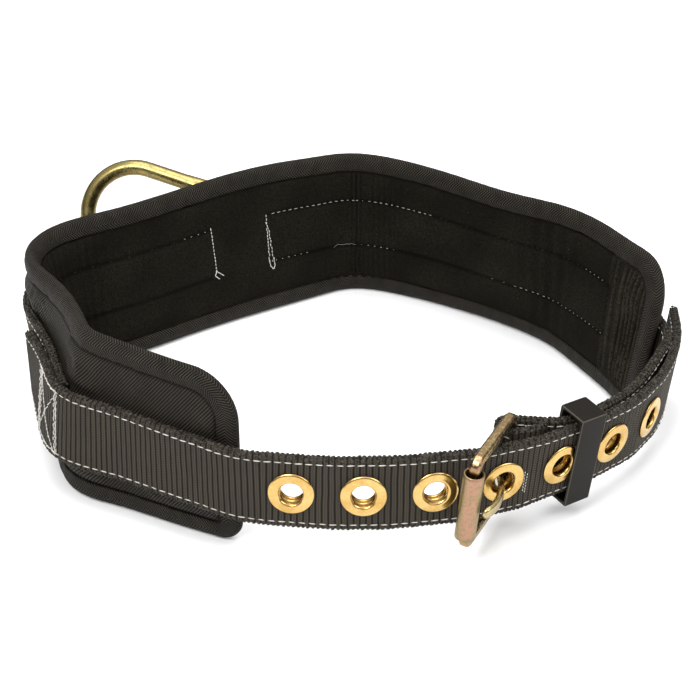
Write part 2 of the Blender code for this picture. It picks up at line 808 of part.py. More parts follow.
def add_poly(curve, path, closed, radii=None):
    spline = curve.splines.new("POLY")
    spline.points.add(len(path) - 1)
    for k, point in enumerate(path):
        spline.points[k].co = (*point, 1.0)
        spline.points[k].radius = radii[k] if radii else 1.0
    spline.use_cyclic_u = closed


def weld(mesh):
    """Join the loose edges of a made shape and point its faces out."""
    shape = bmesh.new()
    shape.from_mesh(mesh)
    bmesh.ops.remove_doubles(shape, verts=shape.verts, dist=0.00001)
    bmesh.ops.recalc_face_normals(shape, faces=shape.faces)
    if shape.calc_volume(signed=True) < 0:
        bmesh.ops.reverse_faces(shape, faces=shape.faces)
    shape.to_mesh(mesh)
    shape.free()


def arc_points(centre, radius, start, end, steps):
    """Points on an arc in the local XY plane, angles in radians, ends included."""
    points = []
    for k in range(steps + 1):
        angle = start + (end - start) * k / steps
        points.append((centre[0] + radius * math.cos(angle), centre[1] + radius * math.sin(angle), 0.0))
    return points


def add_buckle(collection):
    anchor, span, ahead, up, out = buckle_axes()

    # The frame lies flat in its local XY plane, anchor bar at x = 0, roller at x = span
    height = FRAME_HALF_HEIGHT
    radius = FRAME_CORNER_RADIUS
    quarter = math.pi / 2
    path = arc_points((span - radius, height - radius), radius, quarter, 0.0, 3)
    path += arc_points((span - radius, radius - height), radius, 0.0, -quarter, 3)
    path += arc_points((radius, radius - height), radius, -quarter, -2 * quarter, 3)
    path += arc_points((radius, height - radius), radius, 2 * quarter, quarter, 3)
    inset = BAR_HALF - BAR_CHAMFER
    section = [(BAR_HALF, inset), (inset, BAR_HALF), (-inset, BAR_HALF), (-BAR_HALF, inset)]
    section += [(-x, -y) for x, y in section]
    mesh = bar_mesh("buckle_frame", path, closed=True, section=section)
    frame = link_object("buckle_frame", mesh, "yellow_zinc", collection)
    frame.matrix_world = basis(ahead, up, ahead.cross(up), anchor)

    profile = (
        (ROLLER_OUTER_RADIUS, ROLLER_LENGTH / 2),
        (ROLLER_OUTER_RADIUS, -ROLLER_LENGTH / 2),
        (ROLLER_INNER_RADIUS, -ROLLER_LENGTH / 2),
        (ROLLER_INNER_RADIUS, ROLLER_LENGTH / 2),
    )
    roller = link_object("buckle_roller", turned_mesh("buckle_roller", profile, ROLLER_SIDES),
                         "yellow_zinc", collection)
    roller.matrix_world = basis(ahead, up.cross(ahead), up, anchor + ahead * (span + ROLLER_SHIFT))

    # The tongue lies flat in its local XY plane, the anchor bar's axis at the origin
    eye = BAR_REACH + SEAT_GAP + TONGUE_HALF_THICKNESS
    turn = arc_points((0.0, 0.0), eye, TONGUE_EYE_START, TONGUE_EYE_END, TONGUE_EYE_STEPS)
    control = np.array([turn[-1][:2], *TONGUE_ROUTE])
    knots = np.concatenate([[0.0], np.cumsum(np.linalg.norm(np.diff(control, axis=0), axis=1))])
    shank = natural_cubic(knots, control)(np.linspace(0.0, knots[-1], TONGUE_SHANK_STEPS))
    path = turn + [(x, y, 0.0) for x, y in shank[1:]]
    tongue = bar_mesh("buckle_tongue", path, TONGUE_HALF_THICKNESS, extrude=TONGUE_EXTRUDE)
    tongue = link_object("buckle_tongue", tongue, "gold_zinc", collection)
    tongue.matrix_world = basis(ahead, out, ahead.cross(out), anchor - up * TONGUE_DROP)


def add_keeper(outer, collection, cutters):
    """A moulded loop round both straps."""
    place, along, up, out = outer.frame(outer.nearest(*moved([KEEPER_PLACE])[0]))
    up = (up + along * math.sin(KEEPER_SKEW)).normalized()
    along = (along - up * along.dot(up)).normalized()
    centre = place + out * (KEEPER_FRONT - KEEPER_DEPTH / 2) + up * KEEPER_RISE
    seat = basis(along, up.cross(along), up, centre)
    size = (KEEPER_WIDTH, KEEPER_DEPTH, KEEPER_HEIGHT)
    keeper = link_object("strap_keeper", box_mesh("strap_keeper", size), "black_plastic", collection)
    keeper.matrix_world = seat
    inside = (2 * KEEPER_WIDTH, KEEPER_DEPTH - 2 * KEEPER_WALL, KEEPER_HEIGHT - 2 * KEEPER_WALL)
    opening = add_cutter("keeper_opening", box_mesh("keeper_opening", inside), cutters)
    opening.matrix_world = seat
    cut(keeper, opening)
    rounded = keeper.modifiers.new("edges", "BEVEL")
    rounded.width = KEEPER_EDGE_ROUND
    rounded.segments = 2
    rounded.limit_method = "ANGLE"
    rounded.angle_limit = math.radians(60.0)


def ring_station(pad):
    return pad.nearest(*moved([TACK_MIDDLE])[0]) + RING_OFFSET


def ring_axes(pad):
    """The D-ring's bar centre, direction to the arch, direction up the bar, and the third one."""
    place, along, up, out = pad.frame(ring_station(pad))
    centre = place + out * (PAD_OUTER_FACE + SEAT_GAP + RING_STOCK) - up * RING_DROP
    bar = up * math.cos(RING_BAR_TILT) + along * math.sin(RING_BAR_TILT)
    flat = bar.cross(out)
    if flat.dot(along) > 0:
        flat = flat * -1.0
    to_arch = out * math.cos(RING_SWING) + flat * math.sin(RING_SWING)
    return centre, to_arch, bar, to_arch.cross(bar)


def add_d_ring(pad, collection):
    """A straight bar, two legs that thin away from it, and a round arch."""
    centre, to_arch, bar, third = ring_axes(pad)
    radius = RING_ARCH_RADIUS
    bend = RING_BEND_RADIUS
    leg = RING_LEG_LENGTH
    quarter = math.pi / 2
    flare = RING_LEG_FLARE
    path = arc_points((bend, bend - radius), bend, -2 * quarter, -quarter, 3)
    swell = [1.0, 1.0, flare, flare]
    path += [(RING_FLARE_END, -radius, 0.0)]
    swell += [flare]
    path += arc_points((leg, 0.0), radius, -quarter, quarter, 14)
    swell += [1.0] * 15
    path += [(RING_FLARE_END, radius, 0.0)]
    swell += [flare]
    path += arc_points((bend, radius - bend), bend, quarter, 2 * quarter, 3)
    swell += [flare, flare, 1.0, 1.0]
    mesh = bar_mesh("d_ring", path, RING_STOCK, resolution=3, closed=True, radii=swell)
    ring = link_object("d_ring", mesh, "gold_zinc", collection)
    ring.matrix_world = basis(to_arch, bar, third, centre)


def main():
    clear_scene()
    belt = new_collection("restraint_body_belt")
    cutters = new_collection("cutters")
    pad = Course([(x, y, PAD_HEIGHT / 2, lean) for x, y, lean in moved(PAD_COURSE)], outward_is_left=True)
    outer = grommet_strap_course(pad)
    add_pad(pad, belt)
    add_base_strap(pad, outer, belt, cutters)
    add_grommet_strap(pad, outer, belt, cutters)
    add_buckle(belt)
    add_keeper(outer, belt, cutters)
    add_d_ring(pad, belt)


main()
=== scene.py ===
"""A padded restraint body belt with its D-ring, grommets, roller buckle and keeper.

The cloth pieces are shaped again from the belt's own courses, in flat cloth measures that are
wrapped round the waist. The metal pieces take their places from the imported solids.
Metres, +Z up.
"""

import json
import math
from contextlib import contextmanager

import bmesh
import bpy
import numpy as np
from mathutils import Matrix, Vector


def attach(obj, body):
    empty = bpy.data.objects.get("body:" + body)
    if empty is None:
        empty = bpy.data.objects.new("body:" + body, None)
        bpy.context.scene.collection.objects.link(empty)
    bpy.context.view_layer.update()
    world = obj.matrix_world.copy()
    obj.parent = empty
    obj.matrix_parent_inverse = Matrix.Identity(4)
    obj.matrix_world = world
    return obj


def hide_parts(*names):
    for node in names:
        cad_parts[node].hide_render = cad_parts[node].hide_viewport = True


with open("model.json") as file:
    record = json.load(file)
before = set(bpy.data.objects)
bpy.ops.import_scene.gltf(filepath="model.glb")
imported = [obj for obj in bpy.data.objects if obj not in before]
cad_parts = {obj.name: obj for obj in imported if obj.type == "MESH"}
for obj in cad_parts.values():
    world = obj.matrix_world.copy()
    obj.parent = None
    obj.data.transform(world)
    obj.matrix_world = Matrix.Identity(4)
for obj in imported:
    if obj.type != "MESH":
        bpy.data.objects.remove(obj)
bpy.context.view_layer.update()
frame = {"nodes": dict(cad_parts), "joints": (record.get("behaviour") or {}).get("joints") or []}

NODES = frame["nodes"]
HINGE = frame["joints"][0]

# Camera and floor
CAMERA_PLACE = (-0.00125, -0.8217, 0.505)
CAMERA_TURN = (math.radians(60.5), 0.0, 0.0)
CAMERA_LENS = 80.9
CAMERA_SENSOR = 36.0
FLOOR_REACH = 40.0
FLOOR_DROP = 0.0004

# Lights: name, place, size and power, all turned to one place
LIT_PLACE = (0.0, 0.0, 0.05)
LIGHTS = (
    ("key_light", (-0.7, -1.1, 1.5), 0.9, 26.0),
    ("fill_light", (1.1, -0.7, 1.0), 0.9, 10.0),
    ("top_light", (0.0, 0.2, 1.8), 1.4, 24.0),
)

# The platings over zinc: name, colours at the front and at the sides, which are painted sheen
# and shade, colours in stains, the stains' scale and the roughness
PLATINGS = (
    ("gold_zinc", (0.33, 0.26, 0.095), (0.24, 0.175, 0.065), (0.22, 0.195, 0.085), 260.0, 0.20),
    ("green_zinc", (0.48, 0.43, 0.21), (0.40, 0.31, 0.15), (0.44, 0.32, 0.17), 420.0, 0.18),
    ("brown_zinc", (0.34, 0.19, 0.11), (0.40, 0.28, 0.13), (0.44, 0.37, 0.18), 420.0, 0.18),
    ("pink_zinc", (0.42, 0.235, 0.16), (0.30, 0.24, 0.10), (0.26, 0.235, 0.12), 620.0, 0.30),
)

# Pad, in flat cloth measures
LOOP_CENTRE = (0.00125, 0.00670)
PAD_HEIGHT = 0.1016
PAD_OUTER_FACE = 0.0052
UPPER_CORNER_RADIUS = 0.027
LOWER_CORNER_RADIUS = 0.013
LEAST_RADIUS = 0.0001
CORNER_POINTS = 12
UPRIGHT_POINTS = 24
UNDER_RIM_REACH = 0.003
BINDING_REACH = 0.0112
BINDING_HALF = 0.0042
BINDING_THICKNESS = 0.0011
BINDING_SLACK = 0.00022
BINDING_FREE_FROM = 0.0050
PUCKER_LIFT = 0.0006
HERRINGBONE_WIDTH = 0.0112
PUCKERS_AT = 0.4560
PUCKERS_REACH = 0.0160
PUCKER_PITCH = 0.0068
PUCKER_DEPTH = 0.0022
SEAT_GAP = 0.0003
SEAM_INSET = 0.0121
COVER_RIM = 0.0027
COVER_RIM_REACH = 0.0015
COVER_SEAM_DEPTH = 0.0003
COVER_SEAM_WIDTH = 0.0006
PUFF_GRID = 0.0036
PUFF_LIMIT = 0.0042
PUFF_PRESSURE = 9.0
PUFF_SLACK = -0.05
PUFF_MASS = 0.02
PUFF_SINK = 0.0004
PUFF_FROM_SEAM = 0.0015
HELD_PAST_STRAP = 0.001
PUFF_FRAMES = 20
MERGED_WITHIN = 0.00003

# The insets of the cover's and the lining's rounds beside their seams
COVER_INSETS = (0.0015, 0.003, 0.006, 0.009, 0.0108, 0.0113, 0.0117, 0.0121, 0.0125, 0.0130,
                0.0138, 0.0150)
LINING_INSETS = (0.0110, 0.0113, 0.0116, 0.0119, 0.0122, 0.0126, 0.0132, 0.0142)

# The lining's height off the pad's middle, its seams' and grooves' depths and widths
LINING_BACK = 0.0031
LINING_LOWEST = 0.0029
LINING_AT_TAPE = 0.0036
LINING_SWELL = 0.0012
LINING_UNEVENNESS = 0.0003
# LINING_RELIEF: the lift over which the lining's painted shade runs from darkest to palest.
LINING_RELIEF = 0.0022
TUCK_INSET = 0.0119
TUCK_DEPTH = 0.0010
TUCK_WIDTH = 0.0007
ROW_DEPTH = 0.0011
ROW_WIDTH = 0.0013
END_DEPTH = 0.0008
END_WIDTH = 0.0009
PANEL_STEP = 0.0004

# Webbing
WEB_WIDTH = 0.0445
WEB_THICKNESS = 0.0050
STRAP_GAP = 0.0004
RIB_PITCH = 0.0032
RIB_HEIGHT = 0.00025
EDGE_SCALLOP = 0.0004
EDGE_SETBACK = 0.0005
STEPS_PER_RIB = 6
WEAVE_JITTER = 0.00012
BASE_STRAP_START = (-0.1500, -0.0720)
BASE_STRAP_FALLS_FROM = (0.1500, 0.0560)
BASE_STRAP_FALL = 0.0085
BASE_STRAP_DIP = 0.0075
BASE_DIP_REACH = 0.090
EDGE_ROUNDNESS = 0.92
ON_PAD_STEP = 0.002
FREE_STEP = 0.003
PATH_STEP = 0.0015
LINE_STEP = 0.001
SHORT_OF_PAD_END = 0.001
FREE_FROM_PAD = 0.004
BEFORE_FIRST_FLAT = 0.002

# D-ring and the tunnel that the base strap makes over its bar
TACK_MIDDLE = (-0.0720, 0.1279)
RING_OFFSET = -0.0085
RING_BAR_TILT = math.radians(26.0)
RING_STOCK = 0.0052
RING_BEND = 0.0054
RING_FLARE = 0.05
RING_RIDGE = 0.00035
RING_FILLS_OUT = (-0.002, 0.008)
RING_THINS_AGAIN = (0.040, 0.020)
TUNNEL_REACH = 0.0165
TUNNEL_CREST = 0.0050
TUNNEL_DRAW_IN = 0.0030

# Buckle
ANCHOR_CENTRE = (0.0830, -0.1120, 0.0424)
ROLLER_CENTRE = (0.0616, -0.1555, 0.0446)
BUCKLE_UP = (0.078, -0.067, 0.995)
BAR_REACH = 0.0033
TONGUE_SLOT = (0.036, 0.030, 0.0080)
TONGUE_DROP = 0.0022
ROLLER_LIP = 0.00022
ROLLER_SIDES = 72
ROLLER_BANDS = 14

# Grommets
GROMMET_COUNT = 7
GROMMET_SPACING = 0.0374
FOURTH_GROMMET = (0.0800, -0.1345)
GROMMET_FLAT = 0.0125
GROMMET_OUTER = 0.0121
GROMMET_THROAT = 0.0063
GROMMET_BARREL = 0.0074
GROMMET_SIDES = 56
STRAP_HOLE_RADIUS = 0.0077

# Thread
STITCH_PITCH = 0.0053
STITCH_LENGTH = 0.0042
LINING_PITCH = 0.0041
THREAD = 0.00062
ROW_FROM_EDGE = 0.0041
KNOT_ROWS = 4
KNOT_TURN = 68.0
KNOT_SUNK = 0.0004
KNOT_SPREAD = 0.22
KNOT_PITCH = 0.0026
KNOT_SIZE = (0.0022, 0.0019, 0.0013)

# The pad's course: x, y, and how far its top leans out in degrees
PAD_COURSE = (
    (-0.0572, -0.1314, 0.0),
    (-0.0780, -0.1210, -1.0),
    (-0.1025, -0.1074, -2.5),
    (-0.1285, -0.0922, -5.0),
    (-0.1462, -0.0798, -8.0),
    (-0.1550, -0.0625, -9.0),
    (-0.1620, -0.0415, -7.0),
    (-0.1705, -0.0190, -2.0),
    (-0.1790, 0.0030, 4.5),
    (-0.1825, 0.0250, 7.0),
    (-0.1770, 0.0455, 5.5),
    (-0.1635, 0.0605, 3.5),
    (-0.1475, 0.0715, 3.0),
    (-0.1030, 0.1060, 4.0),
    (-0.0455, 0.1455, 5.0),
    (-0.0230, 0.1570, 2.0),
    (-0.0060, 0.1645, 0.0),
    (0.0090, 0.1650, -1.0),
    (0.0310, 0.1570, -2.0),
    (0.0705, 0.1320, -5.0),
    (0.1090, 0.1020, -6.0),
    (0.1300, 0.0845, -2.0),
    (0.1490, 0.0575, 3.0),
    (0.1635, 0.0280, 4.0),
    (0.1730, 0.0040, 7.0),
    (0.1764, -0.0094, 8.5),
)

# The base strap past the pad: a place on the grommet strap, the clearance from it and the
# height of the base strap's middle
BASE_FREE_COURSE = (
    (0.1860, -0.0300, 0.0014, 0.0405),
    (0.1745, -0.0550, 0.0027, 0.0396),
    (0.1600, -0.0780, 0.0027, 0.0394),
    (0.1350, -0.1000, 0.0018, 0.0402),
    (0.1170, -0.1128, 0.0020, 0.0416),
    (0.1070, -0.1195, 0.0075, 0.0428),
)

# The folded-back end of the base strap: x, y, z
FOLD_RETURN_COURSE = (
    (0.0915, -0.1169, 0.0424),
    (0.1000, -0.1129, 0.0422),
)

# The grommet strap over the pad: a place on the pad, the clearance and the strap's height
STRAP_ON_PAD = (
    (-0.1730, -0.0120, 0.0058, 0.0450),
    (-0.1660, -0.0310, 0.0058, 0.0450),
    (-0.1590, -0.0510, 0.0058, 0.0450),
    (-0.1500, -0.0720, 0.0058, 0.0450),
    (-0.1370, -0.0860, 0.0034, 0.0452),
    (-0.1190, -0.0980, 0.0014, 0.0452),
    (-0.0960, -0.1110, 0.0009, 0.0447),
    (-0.0740, -0.1230, 0.0007, 0.0438),
    (-0.0575, -0.1313, 0.0010, 0.0431),
)

# The outer face of the grommet strap in front of the pad: x, y, height and lean in degrees
STRAP_IN_FRONT = (
    (-0.0340, -0.1465, 0.0424, -1.0),
    (0.0050, -0.1485, 0.0415, -1.5),
    (0.0430, -0.1450, 0.0418, -0.5),
    (0.0800, -0.1345, 0.0408, 3.0),
    (0.1100, -0.1175, 0.0396, 6.0),
    (0.1400, -0.0965, 0.0390, 7.0),
    (0.1635, -0.0730, 0.0385, 6.0),
    (0.1775, -0.0500, 0.0380, 5.0),
    (0.1876, -0.0250, 0.0380, 6.0),
    (0.1934, 0.0000, 0.0380, 6.5),
    (0.1958, 0.0240, 0.0380, 6.0),
)

# Pleats and creases of the lining where the pad bends: distance along the pad, reach along the
# pad on either side, pitch, depth
LINING_PLEATS = (
    (0.6930, 0.0180, 0.0042, 0.0019),
    (0.6740, 0.0100, 0.0066, 0.0010),
    (0.4565, 0.0055, 0.0034, 0.0017),
    (0.4740, 0.0160, 0.0042, 0.0006),
    (0.2231, 0.0220, 0.0058, 0.0008),
    (0.2559, 0.0120, 0.0066, 0.0005),
    (0.6075, 0.0220, 0.0110, 0.0006),
)

# The lining's sewing: heights of its two rows, and distances along the pad
LOW_ROW = 0.0358
HIGH_ROW = 0.0690
LINING_BOX_END = 0.6650
LEFT_TACK = 0.3459
RIGHT_TACK = 0.3883
PALE_ROW_END = 0.5140
PALE_AGAIN_FROM = 0.6400
PALE_LOW_ROW = (0.5630, 0.6080)
FAINT_LOW_ROW = (0.4560, 0.4850)
LOOSE_THREAD = 0.4478

# The crossed box that sews the grommet strap to the pad: distances along the strap
BOX_TACK_LEFT = 0.0410
BOX_TACK_RIGHT = 0.0710

# The box's threads across the strap: where each ends above and below, and how far it swings
BOX_COLUMNS = (
    (BOX_TACK_LEFT, BOX_TACK_LEFT + 0.0015, 0.0020),
    (BOX_TACK_LEFT + 0.0040, BOX_TACK_LEFT + 0.0056, 0.0020),
    (BOX_TACK_RIGHT, BOX_TACK_RIGHT + 0.0030, 0.0008),
    (BOX_TACK_RIGHT + 0.0020, BOX_TACK_RIGHT + 0.0042, 0.0005),
)

# How the cover rises past the binding: by how much, and the insets between which it does
COVER_RISES = (
    (0.0012, 0.0113, 0.0130),
    (0.0011, 0.0120, 0.0200),
)

# The folded tape's outer face: inset from the rim, and how far it lies below its full height
TAPE_SECTION = (
    (BINDING_REACH, 0.0006),
    (BINDING_REACH - 0.0004, 0.0001),
    (0.0096, 0.0),
    (0.0078, 0.0),
    (0.0060, 0.0),
    (0.0044, 0.0002),
    (0.0030, 0.0007),
    (0.0017, 0.0015),
    (0.0007, 0.0025),
    (0.0001, 0.0035),
)

# A grommet's section before the strap's face, from its rim to its throat: radius, height
# over the face
GROMMET_FRONT = (
    (GROMMET_OUTER - 0.0002, 0.0),
    (GROMMET_OUTER, 0.0003),
    (GROMMET_OUTER - 0.0002, 0.0006),
    (GROMMET_OUTER - 0.0008, 0.0009),
    (GROMMET_OUTER - 0.0014, 0.0010),
    (0.0092, 0.0010),
    (0.0086, 0.0011),
    (0.0078, 0.0013),
    (0.0071, 0.0011),
    (0.0066, 0.0006),
    (GROMMET_THROAT, 0.0),
    (GROMMET_THROAT, -0.0007),
    (GROMMET_THROAT + 0.0003, -0.0014),
    (GROMMET_THROAT + 0.0007, -0.0022),
)

# Its section behind the strap, from its throat to its washer's rim: radius, height past the
# strap's back
GROMMET_BACK = (
    (GROMMET_THROAT + 0.0007, -0.0022),
    (GROMMET_THROAT + 0.0003, -0.0014),
    (GROMMET_THROAT - 0.0002, -0.0006),
    (GROMMET_THROAT - 0.0004, 0.0001),
    (GROMMET_THROAT - 0.0002, 0.0008),
    (0.0067, 0.0012),
    (0.0074, 0.0012),
    (0.0082, 0.0008),
    (0.0090, 0.0007),
    (GROMMET_OUTER - 0.0010, 0.0006),
    (GROMMET_OUTER - 0.0004, 0.0003),
    (GROMMET_OUTER - 0.0005, 0.0),
)


class Course:
    """A smooth route through rows of x, y, z and lean, read by the distance along it."""

    FINE_STEPS = 2400

    def __init__(self, rows, outward_is_left):
        rows = np.array(rows, dtype=float)
        rows[:, 3] = np.radians(rows[:, 3])
        knots = distances_along(rows[:, :3])
        self.side = 1.0 if outward_is_left else -1.0
        self.rows = natural_cubic(knots, rows)(np.linspace(0.0, knots[-1], self.FINE_STEPS))
        self.distance = distances_along(self.rows[:, :2])
        self.length = float(self.distance[-1])
        self.along = unit(np.gradient(self.rows[:, :2], self.distance, axis=0))

    def frames(self, at):
        """Places and the directions along, up and out at distances, as arrays."""
        at = np.atleast_1d(np.asarray(at, dtype=float))
        row = read_table(at, self.distance, self.rows)
        lean = row[:, 3:4]
        ahead = unit(read_table(at, self.distance, self.along))
        level = np.zeros((len(at), 1))
        along = np.hstack([ahead, level])
        level_out = np.hstack([-ahead[:, 1:2], ahead[:, 0:1], level]) * self.side
        vertical = np.array([0.0, 0.0, 1.0])
        up = vertical * np.cos(lean) + level_out * np.sin(lean)
        out = level_out * np.cos(lean) - vertical * np.sin(lean)
        beyond = np.maximum(at - self.length, 0.0) + np.minimum(at, 0.0)
        return row[:, :3] + along * beyond[:, None], along, up, out

    def lean_at(self, at):
        return float(np.degrees(np.interp(at, self.distance, self.rows[:, 3])))

    def nearest(self, x, y):
        gaps = np.hypot(self.rows[:, 0] - x, self.rows[:, 1] - y)
        return float(self.distance[int(np.argmin(gaps))])


def natural_cubic(knots, values):
    """Return a reader of the natural cubic spline through the values at the knots."""
    knots = np.asarray(knots, dtype=float)
    values = np.asarray(values, dtype=float)
    steps = np.diff(knots)
    slopes = np.diff(values, axis=0) / steps[:, None]
    count = len(knots)
    matrix = np.eye(count)
    right = np.zeros_like(values)
    for i in range(1, count - 1):
        matrix[i, i - 1 : i + 2] = steps[i - 1], 2 * (steps[i - 1] + steps[i]), steps[i]
        right[i] = 6 * (slopes[i] - slopes[i - 1])
    bends = np.linalg.solve(matrix, right)

    def read(at):
        at = np.atleast_1d(np.asarray(at, dtype=float))
        i = np.clip(np.searchsorted(knots, at) - 1, 0, count - 2)
        step = steps[i][:, None]
        before = (knots[i + 1] - at)[:, None]
        after = (at - knots[i])[:, None]
        curved = (bends[i] * before**3 + bends[i + 1] * after**3) / (6 * step)
        low = (values[i] / step - bends[i] * step / 6) * before
        high = (values[i + 1] / step - bends[i + 1] * step / 6) * after
        return curved + low + high

    return read


def drawn(place):
    """A drawn plan position, shifted so that the loop's centre is the origin."""
    return (place[0] - LOOP_CENTRE[0], place[1] - LOOP_CENTRE[1], *place[2:])


def moved(rows):
    return [drawn(row) for row in rows]


def unit(vectors):
    return vectors / np.linalg.norm(vectors, axis=-1, keepdims=True)


def distances_along(points):
    """How far each point lies along the line through them all."""
    steps = np.linalg.norm(np.diff(points, axis=0), axis=1)
    return np.concatenate([[0.0], np.cumsum(steps)])


def read_table(at, distance, table):
    """Read a table's columns between its rows, at distances."""
    return np.stack([np.interp(at, distance, column) for column in table.T], axis=-1)


def filled(corners, step):
    """A line's corners with points set between them about a step apart."""
    spans = [np.linspace(a, b, max(2, int(math.dist(a, b) / step)), endpoint=False)
             for a, b in zip(corners, corners[1:])]
    return np.vstack(spans + [[corners[-1]]])


def smooth_step(low, high, value):
    part = np.clip((value - low) / (high - low), 0.0, 1.0)
    return part * part * (3 - 2 * part)


def ripple(at, pitch):
    """A smooth wave from 0 to 1 that repeats at the pitch."""
    return 0.5 - 0.5 * np.cos(2 * np.pi * np.asarray(at) / pitch)


def bell(distance, reach):
    """1 at no distance, falling away smoothly past the reach."""
    return np.exp(-((distance / reach) ** 2))


PAD = Course([(x, y, PAD_HEIGHT / 2, lean) for x, y, lean in moved(PAD_COURSE)], True)
RING_AT = PAD.nearest(*drawn(TACK_MIDDLE)) + RING_OFFSET
BASE_SEWN_FROM = PAD.nearest(*drawn(BASE_STRAP_START))


class Ribbon:
    """A strap's cross lines: its middle, the vector to its upper edge, and the way out."""

    def __init__(self, lines):
        self.lines = np.hstack([np.vstack(column) for column in zip(*lines)])
        self.distance = distances_along(self.lines[:, 0:3])
        self.length = float(self.distance[-1])

    def at(self, distances):
        read = read_table(distances, self.distance, self.lines)
        return read[:, 0:3], read[:, 3:6], unit(read[:, 6:9])

    def nearest(self, point):
        """The distance along the strap whose middle comes nearest to a point."""
        fine = np.linspace(0.0, self.length, 4000)
        place, _, _ = self.at(fine)
        return float(fine[int(np.argmin(np.linalg.norm(place - np.asarray(point), axis=1)))])

    def line(self, corners, lift):
        """Points over a face through corners given as distance and height."""
        distances, heights = filled(corners, LINE_STEP).T
        place, across, out = self.at(distances)
        return place + unit(across) * heights[:, None] + out * lift, out

    def path(self, start, end, height, lift):
        """Points along a face, at a height from the middle, with the face's outward direction."""
        distances = np.linspace(start, end, max(2, int(abs(end - start) / PATH_STEP)))
        place, across, out = self.at(distances)
        return place + unit(across) * height + out * lift, out * math.copysign(1.0, lift)


def tunnel_height(distance):
    """How far the strap stands off the pad at a distance along from the D-ring's bar."""
    crest = 2 * RING_STOCK + 2 * SEAT_GAP
    return crest * smooth_step(TUNNEL_REACH, TUNNEL_CREST, np.abs(distance))


def base_fall(s):
    """How far the base strap lies below the pad's middle, at its sewn start and at the pad's end."""
    near = smooth_step(BASE_SEWN_FROM + BASE_DIP_REACH, BASE_SEWN_FROM, s)
    start = PAD.nearest(*drawn(BASE_STRAP_FALLS_FROM))
    part = np.maximum(0.0, (s - start) / (PAD.length - start))
    return BASE_STRAP_DIP * near + BASE_STRAP_FALL * part * part * (2 - part)


def base_strap_on_pad(s):
    """Middle, vector to the upper edge and way out of the base strap on the pad."""
    place, along, up, out = PAD.frames(s)
    off = s - RING_AT
    slant = math.tan(RING_BAR_TILT) * np.clip(2.0 - np.abs(off) / TUNNEL_REACH, 0.0, 1.0)
    small = 0.0002
    rise = tunnel_height(off + small) - tunnel_height(off - small)
    square = unit(out - along * (rise / (2 * small))[:, None])
    seat = PAD_OUTER_FACE + STRAP_GAP + WEB_THICKNESS / 2 + tunnel_height(off)
    draw = TUNNEL_DRAW_IN * smooth_step(1.5 * TUNNEL_REACH, TUNNEL_REACH, np.abs(off))
    half = WEB_WIDTH / 2 - draw
    middle = place + out * seat[:, None] - up * base_fall(s)[:, None]
    return middle, (up + along * slant[:, None]) * half[:, None], square


def strap_on_pad(s):
    """The grommet strap's middle, vector to its upper edge and way out, over the pad."""
    table = np.array(sorted((PAD.nearest(*row[:2]), *row[2:]) for row in moved(STRAP_ON_PAD)))
    place, _, up, out = PAD.frames(s)
    clearance, height = read_table(s, table[:, 0], table[:, 1:]).T
    off = PAD_OUTER_FACE + WEB_THICKNESS / 2 + clearance
    rise = height - PAD_HEIGHT / 2
    return place + out * off[:, None] + up * rise[:, None], up * WEB_WIDTH / 2, out


def strap_outer_course():
    """The outer face of the grommet strap, on the pad and then free."""
    rows = []
    for x, y, _, _ in moved(STRAP_ON_PAD):
        s = PAD.nearest(x, y)
        middle, _, out = strap_on_pad(np.array([s]))
        on = middle[0] + out[0] * WEB_THICKNESS / 2
        rows.append((*on, PAD.lean_at(s)))
    return Course(rows + moved(STRAP_IN_FRONT), False)


OUTER = strap_outer_course()


def strap_lines(s):
    place, _, up, out = OUTER.frames(s)
    return place - out * WEB_THICKNESS / 2, up * WEB_WIDTH / 2, out


def grommet_stations():
    middle = OUTER.nearest(*drawn(FOURTH_GROMMET))
    return [middle + GROMMET_SPACING * (k - 3) for k in range(GROMMET_COUNT)]


def grommet_strap_ribbon():
    """The sewn stretch over the pad, then level stretches at the grommets joined by bends."""
    start = PAD.nearest(*drawn(STRAP_ON_PAD[0])[:2])
    on_pad = strap_on_pad(np.linspace(start, UPPER_CORNER_RADIUS, 150))
    lines = [on_pad]
    leaves = OUTER.nearest(*on_pad[0][-1][:2])
    stations = grommet_stations()
    first_flat = stations[0] - GROMMET_FLAT
    for s in np.arange(leaves + FREE_FROM_PAD, first_flat - BEFORE_FIRST_FLAT, FREE_STEP):
        lines.append(strap_lines([s]))
    for s in stations:
        before = strap_lines([s - GROMMET_FLAT])
        after = strap_lines([s + GROMMET_FLAT])
        along = unit(after[0] - before[0])
        up = before[1] + after[1]
        up = unit(up - along * np.sum(up * along))
        flat_out = np.cross(up, along)
        flat_out = flat_out * np.sign(np.sum(flat_out * before[2]))
        lines += [(place, up * WEB_WIDTH / 2, flat_out) for place in (before[0], after[0])]
    for s in np.arange(stations[-1] + GROMMET_FLAT + FREE_STEP, OUTER.length, FREE_STEP):
        lines.append(strap_lines([s]))
    lines.append(strap_lines([OUTER.length]))
    return Ribbon(lines)


def buckle_axes():
    """Anchor bar's centre and the buckle's directions: to the roller, up the bar and outward."""
    anchor = np.array(drawn(ANCHOR_CENTRE))
    roller = np.array(drawn(ROLLER_CENTRE))
    up = unit(np.array(BUCKLE_UP))
    ahead = roller - anchor
    ahead = unit(ahead - up * (ahead @ up))
    return anchor, ahead, up, np.cross(up, ahead)


